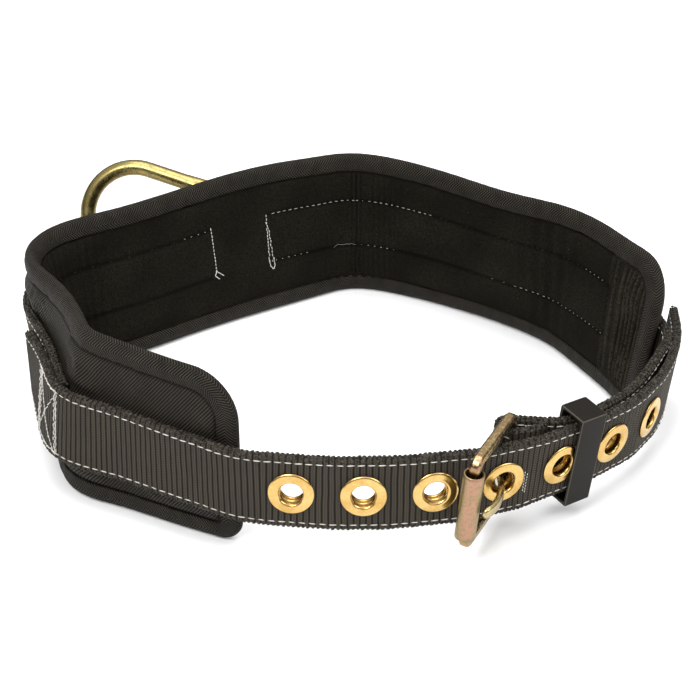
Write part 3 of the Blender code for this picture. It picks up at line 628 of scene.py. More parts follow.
def base_strap_ribbon():
    """On the pad, over the D-ring's bar, free to the buckle, and round its bar."""
    on_pad = np.arange(BASE_SEWN_FROM, PAD.length - SHORT_OF_PAD_END, ON_PAD_STEP)
    lines = [base_strap_on_pad(on_pad)]
    rows = []
    # A few of the last lines on the pad lead into the free course
    for s in on_pad[[-14, -8, -5, -1]]:
        place, _, _ = base_strap_on_pad(np.array([s]))
        rows.append((*place[0], PAD.lean_at(s)))
    leaves_at = rows[-1][:2]
    for x, y, clearance, height in moved(BASE_FREE_COURSE):
        s = OUTER.nearest(x, y)
        place, _, _, outward = OUTER.frames(s)
        behind = place[0] - outward[0] * (1.5 * WEB_THICKNESS + clearance)
        rows.append((*behind[:2], height, OUTER.lean_at(s)))
    free = Course(rows, True)
    distances = np.arange(free.nearest(*leaves_at) + FREE_STEP, free.length, FREE_STEP)
    place, along, up, outward = free.frames(distances)
    lines.append((place, up * WEB_WIDTH / 2, outward))

    anchor, _, bar_up, bar_out = buckle_axes()
    around = unit(along[-1] - bar_up * (along[-1] @ bar_up))
    inner = np.cross(around, bar_up)
    inner = inner * -np.sign(inner @ bar_out)
    turn_radius = BAR_REACH + SEAT_GAP + WEB_THICKNESS / 2
    for angle in np.linspace(0.0, math.pi, 25):
        ray = inner * math.cos(angle) + around * math.sin(angle)
        lines.append((anchor + ray * turn_radius, bar_up * WEB_WIDTH / 2, -ray))
    for point in moved(FOLD_RETURN_COURSE):
        lines.append((np.array(point), bar_up * WEB_WIDTH / 2, inner))
    return Ribbon(lines)


class Wire:
    """A socket whose arithmetic adds Math nodes to its tree."""

    def __init__(self, finish, socket):
        self.finish = finish
        self.socket = socket

    def __add__(self, other):
        return self.finish.maths("ADD", self, other)

    def __radd__(self, other):
        return self.finish.maths("ADD", other, self)

    def __sub__(self, other):
        return self.finish.maths("SUBTRACT", self, other)

    def __rsub__(self, other):
        return self.finish.maths("SUBTRACT", other, self)

    def __mul__(self, other):
        return self.finish.maths("MULTIPLY", self, other)

    def __rmul__(self, other):
        return self.finish.maths("MULTIPLY", other, self)

    def __truediv__(self, other):
        return self.finish.maths("DIVIDE", self, other)

    def __rtruediv__(self, other):
        return self.finish.maths("DIVIDE", other, self)

    def __pow__(self, other):
        return self.finish.maths("POWER", self, other)


class Nodes:
    """A node tree that is built from expressions on its sockets."""

    def __init__(self, tree):
        self.tree = tree

    def node(self, kind, settings, sockets, output=0):
        """Add a node: its settings first, then the values or links of its sockets."""
        node = self.tree.nodes.new(kind)
        for name, value in settings.items():
            setattr(node, name, value)
        for key, value in sockets.items():
            if isinstance(value, Wire):
                self.tree.links.new(value.socket, node.inputs[key])
            else:
                node.inputs[key].default_value = value
        return Wire(self, node.outputs[output])

    def maths(self, operation, first, second=0.0):
        return self.node("ShaderNodeMath", {"operation": operation}, {0: first, 1: second})


class Finish(Nodes):
    """A procedural material."""

    def __init__(self, name, colour, roughness, metallic=0.0, specular=0.5):
        self.material = bpy.data.materials.new(name)
        self.material.use_nodes = True
        super().__init__(self.material.node_tree)
        self.shader = self.tree.nodes["Principled BSDF"]
        values = {"Base Color": (*colour, 1.0), "Roughness": roughness, "Metallic": metallic,
                  "Specular IOR Level": specular}
        for socket, value in values.items():
            self.shader.inputs[socket].default_value = value

    def wave(self, wire, pitch):
        """A sine from 0 to 1 that repeats at the pitch."""
        return self.maths("SINE", wire * (2 * math.pi / pitch)) * 0.5 + 0.5

    def absolute(self, wire):
        return self.maths("ABSOLUTE", wire)

    def fraction(self, wire):
        return self.maths("FRACT", wire)

    def clamped(self, wire):
        return self.node("ShaderNodeClamp", {}, {0: wire})

    def ramp(self, low, high, wire):
        sockets = {0: wire, 1: low, 2: high}
        return self.node("ShaderNodeMapRange", {"interpolation_type": "SMOOTHSTEP"}, sockets)

    def mix(self, factor, first, second):
        """Blend two colours by a factor; each is a socket or its red, green and blue."""
        first, second = [c if isinstance(c, Wire) else (*c, 1.0) for c in (first, second)]
        settings = {"data_type": "RGBA"}
        return self.node("ShaderNodeMix", settings, {0: factor, 6: first, 7: second}, 2)

    def places(self):
        return self.node("ShaderNodeTexCoord", {}, {}, 3)

    def facing(self, direction):
        """How squarely the surface faces a fixed direction, from -1 to 1."""
        normal = self.node("ShaderNodeNewGeometry", {}, {}, 1)
        sockets = {0: normal, 1: direction}
        return self.node("ShaderNodeVectorMath", {"operation": "DOT_PRODUCT"}, sockets, 1)

    def cloth(self):
        """The piece's own flat measures, in metres: along it and across it."""
        uv = self.node("ShaderNodeUVMap", {"uv_map": "cloth"}, {})
        along = self.node("ShaderNodeSeparateXYZ", {}, {0: uv}, 0)
        across = self.node("ShaderNodeSeparateXYZ", {}, {0: uv}, 1)
        return along, across

    def relief(self):
        """The piece's own lift, from 0 in its seams and hollows to 1 on its ridges, which finishes read to
        paint shade into hollows.
        """
        return self.node("ShaderNodeAttribute", {"attribute_name": "relief"}, {}, 2)

    def noise(self, scale, detail=3.0, where=None, roughness=0.5):
        sockets = {"Vector": where or self.places(), "Scale": scale, "Detail": detail,
                   "Roughness": roughness}
        return self.node("ShaderNodeTexNoise", {}, sockets, 0)

    def stretched(self, vector, amounts):
        return self.node("ShaderNodeMapping", {}, {0: vector, 3: amounts})

    def paint(self, socket, wire):
        self.tree.links.new(wire.socket, self.shader.inputs[socket])

    def tint(self, factor, dark, pale):
        """Colour the surface between two colours by a factor."""
        self.paint("Base Color", self.mix(factor, dark, pale))

    def bump(self, height, distance, strength=1.0):
        """Raise the surface by a height from 0 to 1, times a distance in metres."""
        sockets = {"Strength": strength, "Distance": distance, "Height": height}
        self.paint("Normal", self.node("ShaderNodeBump", {}, sockets))
        return self


def nylon_cover_finish():
    """Black ballistic nylon with fine slanting ribs; painted shade darkens the hollows between its ribs
    and its seam groove.
    """
    finish = Finish("nylon_cover", (0.018, 0.016, 0.013), 0.6, specular=0.15)
    along, across = finish.cloth()
    rib = finish.wave(along * 0.77 + across * 0.64, 0.00152)
    yarn = finish.wave(along * 0.64 - across * 0.77, 0.00135)
    cloud = finish.noise(60.0, 4.0)
    weave = rib * (0.55 + yarn * 0.60)
    # Painted shade: near black between the ribs and where the relief marks the seam groove, paler on the
    # rib crowns; the cloud is random tone.
    lit = finish.clamped(weave ** 1.4 * (0.45 + cloud * 0.8) * finish.relief())
    finish.tint(lit, (0.0016, 0.0013, 0.0009), (0.050, 0.042, 0.030))
    finish.paint("Roughness", 0.72 - rib * 0.22)
    return finish.bump(weave, 0.00045).material


def lining_finish():
    """Dull brushed cloth, nearly black, with a little lint; browner past the sewn panel; painted darker in
    its seams and pleat hollows as shade and paler on its ridges as light.
    """
    finish = Finish("brushed_lining", (0.009, 0.008, 0.006), 0.95, specular=0.05)
    along, _ = finish.cloth()
    nap = finish.noise(1000.0)
    cloud = finish.noise(35.0, 4.0)
    lint = finish.ramp(0.77, 0.86, finish.noise(520.0, 1.0))
    # Painted shade and light: the relief darkens the seams and pleat hollows and lightens the ridges; nap
    # and cloud are random tone.
    tone = finish.clamped((nap * 2.4 + cloud * 0.5 - 0.95) * finish.relief() * 1.35)
    past = finish.ramp(LINING_BOX_END - 0.002, LINING_BOX_END + 0.002, along)
    pale = finish.mix(past, (0.0150, 0.0140, 0.0092), (0.0420, 0.0365, 0.0265))
    cloth = finish.mix(tone, (0.0034, 0.0031, 0.0020), pale)
    finish.tint(lint * 0.4, cloth, (0.10, 0.095, 0.075))
    return finish.bump(nap * 0.8 + cloud * 0.4, 0.0004, 0.6).material


def binding_finish():
    """Herringbone tape: twill lines that meet in points along the middle of each side, with painted shade
    near black in the twill's valleys.
    """
    finish = Finish("herringbone_binding", (0.022, 0.019, 0.016), 0.6, specular=0.15)
    along, across = finish.cloth()
    folded = finish.absolute(finish.fraction(across / HERRINGBONE_WIDTH) - 0.5) * HERRINGBONE_WIDTH
    twill = finish.wave(along + folded * 0.85, 0.00182)
    yarn = finish.wave(along - folded * 1.15, 0.0012)
    cloud = finish.noise(130.0, 4.0)
    ridge = finish.ramp(0.25, 0.92, twill)
    relief = ridge * 0.75 + yarn * ridge * 0.40
    # Painted shade: the twill's valleys are tinted near black and its ridges paler; the cloud is random
    # tone.
    lit = finish.clamped(relief * (0.15 + cloud * 1.35))
    finish.tint(lit, (0.0018, 0.0015, 0.0010), (0.048, 0.0405, 0.0295))
    finish.paint("Roughness", 0.76 - ridge * 0.22)
    return finish.bump(relief, 0.0005).material


def webbing_finish():
    """Black webbing: cross ribs of two fine cords each, whose yarns slant one way and the other; painted
    shade tints the grooves between ribs near black.
    """
    finish = Finish("ribbed_webbing", (0.022, 0.019, 0.016), 0.6, specular=0.15)
    along, across = finish.cloth()
    sway = finish.noise(70.0, 2.0) * 0.0008
    turns = (along + sway) / RIB_PITCH
    rib = finish.ramp(1.0, 0.40, finish.absolute(finish.fraction(turns) - 0.5) * 2.0)
    cords = turns * 2.0
    odd = finish.maths("MODULO", finish.maths("FLOOR", cords), 2.0)
    cord = finish.ramp(1.0, 0.15, finish.absolute(finish.fraction(cords) - 0.5) * 2.0)
    slant = finish.wave(across + along * (odd * 1.8 - 0.9), 0.00150)
    fibre = finish.noise(900.0)
    cloud = finish.noise(55.0)
    yarn = (0.45 + cord * 0.55) * (0.10 + slant * 0.90)
    # Painted shade: the grooves between ribs and the hollows between cords and yarns are tinted darker
    # than their crowns.
    cords_lit = (0.10 + yarn * 0.75 + fibre * 0.15) * (0.04 + rib * 0.96)
    lit = finish.clamped(cords_lit * (0.80 + cloud * 0.4))
    finish.tint(lit, (0.0026, 0.0022, 0.0016), (0.078, 0.0650, 0.0470))
    finish.paint("Roughness", 0.80 - yarn * 0.24)
    return finish.bump(rib * 0.6 + yarn * 0.35 + fibre * 0.12, 0.0005).material


def knot_finish():
    """The coarse yarn that turns back at the webbing's edges."""
    finish = Finish("webbing_edge_yarn", (0.020, 0.018, 0.015), 0.65, specular=0.2)
    fibre = finish.noise(1400.0)
    fleck = finish.ramp(0.44, 0.62, finish.noise(620.0, 2.0))
    tone = finish.clamped(fleck * 0.8 + fibre * 0.3 - 0.05)
    finish.tint(tone, (0.0022, 0.0018, 0.0012), (0.058, 0.049, 0.037))
    return finish.bump(fibre, 0.0003, 0.8).material


def thread_finish(name, pale, dark):
    """Twisted sewing thread."""
    finish = Finish(name, pale, 0.75, specular=0.3)
    ply = finish.noise(2600.0, 2.0)
    cloud = finish.noise(160.0, 2.0)
    finish.tint(finish.clamped(ply * 0.8 + cloud * 0.6 - 0.15), dark, pale)
    return finish.bump(ply, 0.0002, 0.6).material


def brass_finish():
    """Bright brass with soft tarnish and fine hairlines."""
    finish = Finish("rolled_brass", (0.62, 0.40, 0.12), 0.25, 1.0)
    cloud = finish.noise(120.0, 4.0)
    hair = finish.noise(1.0, 2.0, finish.stretched(finish.places(), (300.0, 300.0, 2600.0)))
    speck = finish.noise(900.0)
    warm = finish.ramp(0.30, 0.72, cloud * 0.6 + speck * 0.4)
    finish.tint(warm, (0.62, 0.43, 0.17), (0.46, 0.28, 0.075))
    finish.paint("Roughness", 0.10 + cloud * 0.14 + speck * 0.12)
    return finish.bump(hair, 0.00005, 0.15).material


def zinc_finish(name, front, side, stain, mottle, shine):
    """Yellow chromate over zinc, with stains and a fine grain. The colours by facing are painted
    sheen and shade: pink or gold where it faces the front, gold or green at the sides."""
    finish = Finish(name, front, shine, 1.0)
    # Painted sheen and shade: the front colour where the surface faces the camera's way, the side colour
    # where it turns away.
    facing = finish.facing((0.0, -0.86, 0.50)) + finish.noise(90.0) * 0.5 - 0.25
    square = finish.ramp(0.35, 0.85, facing)
    blotch = finish.ramp(0.48, 0.62, finish.noise(mottle, 4.0, roughness=0.65))
    grain = finish.noise(1500.0)
    tinted = finish.mix(blotch * 0.8, finish.mix(square, side, front), stain)
    finish.tint(grain * 0.28, tinted, (0.020, 0.014, 0.007))
    finish.paint("Roughness", shine + blotch * 0.14 + grain * 0.10)
    return finish.bump(grain, 0.00006, 0.20).material


def keeper_finish(axes):
    """Satin black plastic with a fine moulded grain, painted paler along its edges as a highlight."""
    finish = Finish("moulded_plastic", (0.007, 0.006, 0.005), 0.30, specular=0.08)
    grain = finish.noise(1800.0, 2.0)
    cloud = finish.noise(40.0)
    first, second, third = [finish.absolute(finish.facing(axis)) for axis in axes]
    flat = finish.maths("MAXIMUM", first, finish.maths("MAXIMUM", second, third))
    # Painted highlight: on the rounded edges, where no face is square to the keeper's axes, the colour
    # turns paler.
    painted_edge_highlight = finish.ramp(0.995, 0.88, flat) * (0.4 + grain * 0.6)
    plain = finish.mix(cloud, (0.0060, 0.0050, 0.0036), (0.0105, 0.0088, 0.0064))
    finish.tint(painted_edge_highlight, plain, (0.085, 0.077, 0.063))
    finish.paint("Roughness", 0.26 + cloud * 0.10 + grain * 0.08)
    return finish.bump(grain, 0.00008, 0.3).material


def floor_finish():
    return Finish("pale_floor", (0.86, 0.86, 0.86), 0.9).material


def add_object(name, data):
    obj = bpy.data.objects.new(name, data)
    bpy.context.scene.collection.objects.link(obj)
    return obj


def link(name, mesh, material):
    obj = add_object(name, mesh)
    mesh.materials.clear()
    mesh.materials.append(material)
    return obj


@contextmanager
def shaping(mesh):
    """A mesh's faces to work on, written back to it at the end."""
    shape = bmesh.new()
    shape.from_mesh(mesh)
    yield shape
    shape.to_mesh(mesh)
    shape.free()


def grid_faces(rows, columns, close_rows=True, close_columns=True):
    """The corners of the quads between a grid's points, row after row."""
    bands = rows if close_rows else rows - 1
    gaps = columns if close_columns else columns - 1
    r, c = np.divmod(np.arange(bands * gaps), gaps)
    below, after = (r + 1) % rows, (c + 1) % columns
    return np.stack([r * columns + c, r * columns + after,
                     below * columns + after, below * columns + c], axis=1)


def closed_mesh(name, points, faces, measures=None, relief=None, merged_within=0.0):
    """A smooth closed mesh. Its corners' flat measures become its UV map."""
    mesh = bpy.data.meshes.new(name)
    mesh.from_pydata(points.reshape(-1, 3).tolist(), [], faces)
    if measures is not None:
        layer = mesh.uv_layers.new(name="cloth")
        layer.data.foreach_set("uv", np.array(measures, dtype=np.float32).ravel())
    if relief is not None:
        lift = mesh.attributes.new("relief", "FLOAT", "POINT")
        lift.data.foreach_set("value", np.clip(relief, 0.0, 1.0).astype(np.float32).ravel())
    with shaping(mesh) as shape:
        if merged_within:
            bmesh.ops.remove_doubles(shape, verts=shape.verts, dist=merged_within)
        bmesh.ops.recalc_face_normals(shape, faces=shape.faces)
        if shape.calc_volume(signed=True) < 0:
            bmesh.ops.reverse_faces(shape, faces=shape.faces)
    mesh.shade_smooth()
    return mesh


def strap_mesh(name, points, across, along):
    """A strap from its cross lines, with flat ends.

    across and along are the flat measures of its columns and rows. There is one value of across
    more than there are columns, because the section closes on itself."""
    rows, columns = points.shape[:2]
    faces = grid_faces(rows, columns, close_rows=False).tolist()
    r, c = np.divmod(np.arange(len(faces)), columns)
    u = along[r[:, None] + (0, 0, 1, 1)]
    v = across[c[:, None] + (0, 1, 1, 0)]
    measures = np.stack([u, v], axis=-1).reshape(-1, 2).tolist()
    first = list(range(columns))[::-1]
    last = list(range((rows - 1) * columns, rows * columns))
    measures += [[along[0], across[k]] for k in first]
    measures += [[along[-1], across[k]] for k in range(columns)]
    return closed_mesh(name, points, faces + [first, last], measures)


def evaluated_mesh(obj):
    bpy.context.view_layer.update()
    evaluated = obj.evaluated_get(bpy.context.evaluated_depsgraph_get())
    return bpy.data.meshes.new_from_object(evaluated)


def modify(obj, kind, **settings):
    """Add a modifier and give it its settings in their order."""
    modifier = obj.modifiers.new(kind.lower(), kind)
    for name, value in settings.items():
        setattr(modifier, name, value)
    return modifier


def bake_modifiers(obj):
    """Turn what the object's modifiers make into its own plain mesh."""
    mesh = evaluated_mesh(obj)
    material = obj.data.materials[0] if obj.data.materials else None
    old = obj.data
    obj.modifiers.clear()
    obj.data = mesh
    bpy.data.meshes.remove(old)
    if material and not mesh.materials:
        mesh.materials.append(material)
    return obj


def put_on(obj, body, slot, *nodes):
    """Ride on a body and stand for CAD nodes, which are hidden. The slot is not used."""
    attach(obj, body)
    if nodes:
        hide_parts(*nodes)
    return obj


def pad_ring(inset, stations):
    """One round of the pad's outline in flat measures, set in from its rim."""
    low = max(LOWER_CORNER_RADIUS - inset, LEAST_RADIUS)
    high = max(UPPER_CORNER_RADIUS - inset, LEAST_RADIUS)
    length = PAD.length
    top = PAD_HEIGHT - inset

    def edge(radius):
        return np.clip(stations, inset + radius, length - inset - radius)

    def corner(s, v, radius, start):
        turn = np.radians(start + np.linspace(0.0, 90.0, CORNER_POINTS + 2)[1:-1])
        return np.stack([s + radius * np.cos(turn), v + radius * np.sin(turn)], axis=1)

    def upright(s, start, end):
        v = np.linspace(start, end, UPRIGHT_POINTS)
        return np.stack([np.full_like(v, s), v], axis=1)

    lower = edge(low)
    upper = edge(high)[::-1]
    return np.vstack([
        np.stack([lower, np.full_like(lower, inset)], axis=1),
        corner(length - inset - low, inset + low, low, -90.0),
        upright(length - inset, inset + low, top - high),
        corner(length - inset - high, top - high, high, 0.0),
        np.stack([upper, np.full_like(upper, top)], axis=1),
        corner(inset + high, top - high, high, 90.0),
        upright(inset, top - high, inset + low),
        corner(inset + low, inset + low, low, 180.0),
    ])


def pad_stations(step):
    return np.linspace(0.0, PAD.length, int(PAD.length / step))


def wrap(s, v, u):
    """Carry flat pad places to places round the waist."""
    place, _, up, out = PAD.frames(s)
    return place + up * (v - PAD_HEIGHT / 2)[:, None] + out * u[:, None]


def fine_noise(seed, s, v, scale_s, scale_v):
    """Smooth repeatable noise over the pad, about -1 to 1, from a few seeded waves."""
    random = np.random.default_rng(seed)
    total = np.zeros_like(s)
    for _ in range(7):
        turn = random.uniform(0, 2 * np.pi)
        phase = random.uniform(0, 2 * np.pi)
        rate = random.uniform(0.6, 1.6)
        turns = rate * (s * math.cos(turn) / scale_s + v * math.sin(turn) / scale_v)
        total += np.sin(2 * np.pi * turns + phase)
    return total / 3.0


def strap_band(s):
    """The heights on the pad between which a strap presses it flat."""
    base_middle = PAD_HEIGHT / 2 - base_fall(s)
    middle = np.where(s > BASE_SEWN_FROM, base_middle, STRAP_ON_PAD[4][3])
    return middle - WEB_WIDTH / 2, middle + WEB_WIDTH / 2


def simulated_puff():
    """Blow the cover out between its seam and the strap with Cloth, and read how far it rose."""
    along = np.arange(SEAM_INSET, PAD.length - SEAM_INSET, PUFF_GRID)
    count = int((PAD_HEIGHT - 2 * SEAM_INSET) / PUFF_GRID)
    across = np.linspace(SEAM_INSET, PAD_HEIGHT - SEAM_INSET, count)
    s, v = [grid.ravel() for grid in np.meshgrid(along, across, indexing="ij")]
    rest = wrap(s, v, np.full_like(s, PAD_OUTER_FACE))
    faces = grid_faces(len(along), count, False, False)[:, [0, 3, 2, 1]]
    mesh = bpy.data.meshes.new("puff")
    mesh.from_pydata(rest.tolist(), [], faces.tolist())
    sheet = add_object("puff", mesh)
    low, high = strap_band(s)
    on_seam = (s == s.min()) | (s == s.max()) | (v == v.min()) | (v == v.max())
    sewn = on_seam | ((v > low - HELD_PAST_STRAP) & (v < high + HELD_PAST_STRAP))
    sheet.vertex_groups.new(name="sewn").add(np.flatnonzero(sewn).tolist(), 1.0, "REPLACE")
    settings = modify(sheet, "CLOTH").settings
    settings.vertex_group_mass = "sewn"
    settings.mass = PUFF_MASS
    settings.use_pressure = True
    settings.uniform_pressure_force = PUFF_PRESSURE
    settings.effector_weights.gravity = 0.0
    settings.shrink_min = PUFF_SLACK
    scene = bpy.context.scene
    for number in range(1, PUFF_FRAMES + 1):
        scene.frame_set(number)
    ended = np.zeros(len(rest) * 3)
    evaluated_mesh(sheet).vertices.foreach_get("co", ended)
    scene.frame_set(1)
    bpy.data.objects.remove(sheet, do_unlink=True)
    _, _, _, out = PAD.frames(s)
    rise = np.sum((ended.reshape(-1, 3) - rest) * out, axis=1)
    return along, across, np.clip(rise, -PUFF_SINK, PUFF_LIMIT).reshape(len(along), count)


def read_grid(along, across, values, s, v):
    """Read a grid of values at places between its points."""
    i = np.clip(np.searchsorted(along, s) - 1, 0, len(along) - 2)
    j = np.clip(np.searchsorted(across, v) - 1, 0, len(across) - 2)
    a = np.clip((s - along[i]) / (along[i + 1] - along[i]), 0.0, 1.0)
    b = np.clip((v - across[j]) / (across[j + 1] - across[j]), 0.0, 1.0)
    near = values[i, j] * (1 - b) + values[i, j + 1] * b
    far = values[i + 1, j] * (1 - b) + values[i + 1, j + 1] * b
    return near * (1 - a) + far * a


def outer_face(puff):
    """A reader of how far the cover stands out from the pad's middle surface."""
    def read(inset, s, v):
        u = COVER_RIM + sum(rise * smooth_step(low, high, inset) for rise, low, high in COVER_RISES)
        u = u - COVER_SEAM_DEPTH * bell(inset - SEAM_INSET, COVER_SEAM_WIDTH)
        u = u + puff(s, v) * smooth_step(SEAM_INSET, SEAM_INSET + PUFF_FROM_SEAM, inset)
        return np.where(inset < COVER_RIM_REACH, u * inset / COVER_RIM_REACH, u)

    return read


def flat_face(height):
    """A reader of a plain face under another piece, drawn in at its rim."""
    return lambda inset, s, v: np.full_like(s, height) * np.minimum(1.0, inset / UNDER_RIM_REACH)


def lining_lift(inset, s, v):
    """How far seams, pleats and creases lift or sink the lining."""
    lift = -TUCK_DEPTH * bell(inset - TUCK_INSET, TUCK_WIDTH)
    on_panel = smooth_step(LINING_BOX_END + 0.0008, LINING_BOX_END - 0.0008, s)
    between = smooth_step(LEFT_TACK - 0.003, LEFT_TACK + 0.002, s)
    between = between * smooth_step(RIGHT_TACK + 0.003, RIGHT_TACK - 0.002, s)
    for height in (LOW_ROW, HIGH_ROW):
        lift = lift - ROW_DEPTH * on_panel * (1 - between) * bell(v - height, ROW_WIDTH)
    inside = smooth_step(LOW_ROW - 0.0015, LOW_ROW + 0.0010, v)
    inside = inside * smooth_step(HIGH_ROW + 0.0015, HIGH_ROW - 0.0010, v)
    lift = lift - END_DEPTH * inside * bell(s - LINING_BOX_END, END_WIDTH)
    lift = lift + PANEL_STEP * inside * (on_panel - 0.5)
    lift = lift + LINING_UNEVENNESS * fine_noise(5, s, v, 0.05, 0.04)
    for at, reach, pitch, depth in LINING_PLEATS:
        sway = 0.0007 * fine_noise(int(pitch * 1e5), s, v, 0.09, 0.04)
        ridge = ripple(s - at + sway, pitch) ** 1.6
        near = bell(s - at, reach) * smooth_step(0.0112, 0.0150, inset)
        lift = lift + near * depth * (ridge - 0.5)
    return lift


def lining_face(inset, s, v):
    """How far the lining stands in from the pad's middle surface."""
    padded = LINING_AT_TAPE + LINING_SWELL * smooth_step(0.0114, 0.0200, inset)
    return np.maximum(padded + lining_lift(inset, s, v), LINING_LOWEST)


def ringed_sheet(insets, stations, face, sign):
    """Rows of points at insets from the pad's rim, on its outer or inner face, and flat."""
    measures = [pad_ring(inset, stations) for inset in insets]
    rows = []
    for inset, flat in zip(insets, measures):
        s, v = flat.T
        rows.append(wrap(s, v, face(np.full_like(s, inset), s, v) * sign))
    return np.array(rows), np.array(measures)


def pad_layer(insets, step, face, sign, back, coarser):
    """Rounds over a layer's own face, from the pad's middle to its rim, and back over the plain
    face behind, with the flat measures of both."""
    stations = pad_stations(step)
    front, flat = ringed_sheet(insets, stations, face, sign)
    behind, _ = ringed_sheet(insets[::coarser], stations, flat_face(back), -1.0)
    return np.concatenate([front[::-1], behind]), np.concatenate([flat[::-1], flat[::coarser]])


def ring_mesh(name, rows, measures, material, closed_rows=False, relief=None):
    """Join rounds of points into one closed body whose flat measures are its UV map."""
    faces = grid_faces(*rows.shape[:2], close_rows=closed_rows)
    corners = measures.reshape(-1, 2)[faces]
    mesh = closed_mesh(name, rows, faces.tolist(), corners, relief, MERGED_WITHIN)
    return link(name, mesh, material)


def insets_to_middle(edge, start, step):
    """Insets that lie close at the seam and then evenly up to the pad's middle."""
    return np.concatenate([edge, np.arange(start, PAD_HEIGHT / 2, step), [PAD_HEIGHT / 2]])


def make_pad_cover(material):
    """The padded cover: its own rim lies inside the binding, its back under the lining."""
    insets = insets_to_middle(COVER_INSETS, 0.0162, 0.0018)
    grid = simulated_puff()
    puff = lambda s, v: read_grid(*grid, s, v)
    rows, measures = pad_layer(insets, 0.0016, outer_face(puff), 1.0, COVER_RIM, 3)
    # Painted shade: the relief dips along the seam groove, where the finish darkens the cover.
    relief = np.ones(rows.shape[:2])
    relief[: len(insets)] -= 0.40 * bell(insets - SEAM_INSET, 0.0010)[::-1, None]
    cover = ring_mesh("pad_cover", rows, measures, material, relief=relief)
    put_on(cover, "belt", "nylon_cover", "pad_body")


def make_lining(material):
    """The lining: one cloth stretched over the pad's back, tucked under the binding."""
    insets = insets_to_middle(LINING_INSETS, 0.0155, 0.0013)
    rows, measures = pad_layer(insets, 0.0012, lining_face, -1.0, LINING_BACK, 4)
    s, v = measures[: len(insets), :, 0], measures[: len(insets), :, 1]
    lift = lining_lift(np.broadcast_to(insets[::-1, None], s.shape), s, v)
    # The lift, from hollow to ridge, kept for the finish's painted shade and light.
    relief = np.full(rows.shape[:2], 0.5)
    relief[: len(insets)] += lift / LINING_RELIEF
    lining = ring_mesh("pad_lining_cloth", rows, measures, material, relief=relief)
    put_on(lining, "belt", "brushed_lining", "pad_lining")


def binding_profile():
    """Points round the folded tape, as inset and height off the pad's middle."""
    outside = [(inset, BINDING_HALF - drop) for inset, drop in TAPE_SECTION]
    mirrored = [(inset, -u) for inset, u in outside[::-1]]
    wall = BINDING_THICKNESS
    inside = [(max(inset, wall), max(u - wall, 0.0002)) for inset, u in outside[:-1]]
    under = [(inset, -u) for inset, u in inside]
    return outside + mirrored + under + inside[::-1]


def make_binding(material):
    """The tape folded over the pad's rim, puckered at its inner edge where the pad bends sharply."""
    stations = pad_stations(0.0015)
    profile = binding_profile()
    measure = distances_along(profile)
    rim_s, rim_v = pad_ring(0.0, stations).T
    rim_places = wrap(rim_s, rim_v, np.zeros(len(rim_s)))
    round_at = distances_along(np.vstack([rim_places, rim_places[:1]]))
    tight = bell(rim_s - PUCKERS_AT, PUCKERS_REACH) * (rim_v < PAD_HEIGHT / 2)
    pucker = tight * (ripple(rim_s, PUCKER_PITCH) - 0.5)
    small = 0.001
    rows, measures = [], []
    for (inset, height), across in zip(profile, measure + HERRINGBONE_WIDTH / 2):
        free = float(smooth_step(BINDING_FREE_FROM, BINDING_REACH, inset))
        wavy = pucker * free if height < 0 else np.zeros_like(pucker)
        flat = pad_ring(inset, stations)
        inward = (pad_ring(inset + small, stations) - flat) / small
        s, v = (flat + inward * (PUCKER_DEPTH * wavy)[:, None]).T
        slack = BINDING_SLACK * fine_noise(11, s, v, 0.012, 0.05) * (0.4 + free)
        u = height + math.copysign(1.0, height) * (slack + PUCKER_LIFT * wavy)
        rows.append(wrap(s, v, u))
        measures.append(np.stack([round_at[:-1], np.full_like(s, across)], axis=1))
    rows, measures = np.array(rows), np.array(measures)
    tape = ring_mesh("pad_binding_tape", rows, measures, material, closed_rows=True)
    put_on(tape, "belt", "binding_tape", "pad_binding")


def strap_section():
    """Points round a strap's section: across, out, and the way the surface faces there."""
    half, thick = WEB_WIDTH / 2 - EDGE_SETBACK, WEB_THICKNESS / 2
    radius = thick * EDGE_ROUNDNESS
    flat = np.linspace(-(half - radius), half - radius, 13)
    points = [(a, thick, 0.0, 1.0) for a in flat]
    for turn in np.radians(np.linspace(90.0, -90.0, 9)[1:-1]):
        x, y = math.cos(turn), math.sin(turn)
        points.append((half - radius + radius * x, (thick - radius) * np.sign(y) + radius * y, x, y))
    return np.array(points + [(-a, -b, -x, -y) for a, b, x, y in points])


def make_webbing(name, ribbon, material, cutter):
    """Webbing with rounded cross ribs on both faces; the cutter makes its holes."""
    count = int(ribbon.length / RIB_PITCH * STEPS_PER_RIB)
    distances = np.linspace(0.0, ribbon.length, count)
    place, across, out = ribbon.at(distances)
    half = np.linalg.norm(across, axis=1)
    up = unit(across)
    section = strap_section()
    scale = (half / (WEB_WIDTH / 2))[:, None]
    rib = 1.0 - np.abs(2 * ((distances / RIB_PITCH) % 1.0) - 1.0) ** 3
    edge = np.abs(section[:, 2])[None, :]
    random = np.random.default_rng(23)
    jitter = random.uniform(-WEAVE_JITTER, WEAVE_JITTER, size=(count, len(section)))
    sunk = (rib[:, None] - 1.0) * (RIB_HEIGHT + edge * (EDGE_SCALLOP - RIB_HEIGHT))
    raised = sunk + jitter * (0.25 + edge)
    a = section[None, :, 0] * scale + section[None, :, 2] * raised
    b = section[None, :, 1] + section[None, :, 3] * raised
    points = place[:, None, :] + up[:, None, :] * a[..., None] + out[:, None, :] * b[..., None]
    closed = np.vstack([section[:, :2], section[:1, :2]])
    mesh = strap_mesh(name, points, distances_along(closed), distances)
    strap = link(name, mesh, material)
    modify(strap, "BOOLEAN", operation="DIFFERENCE", solver="EXACT", object=cutter)
    bake_modifiers(strap)
    bpy.data.objects.remove(cutter, do_unlink=True)
    return strap


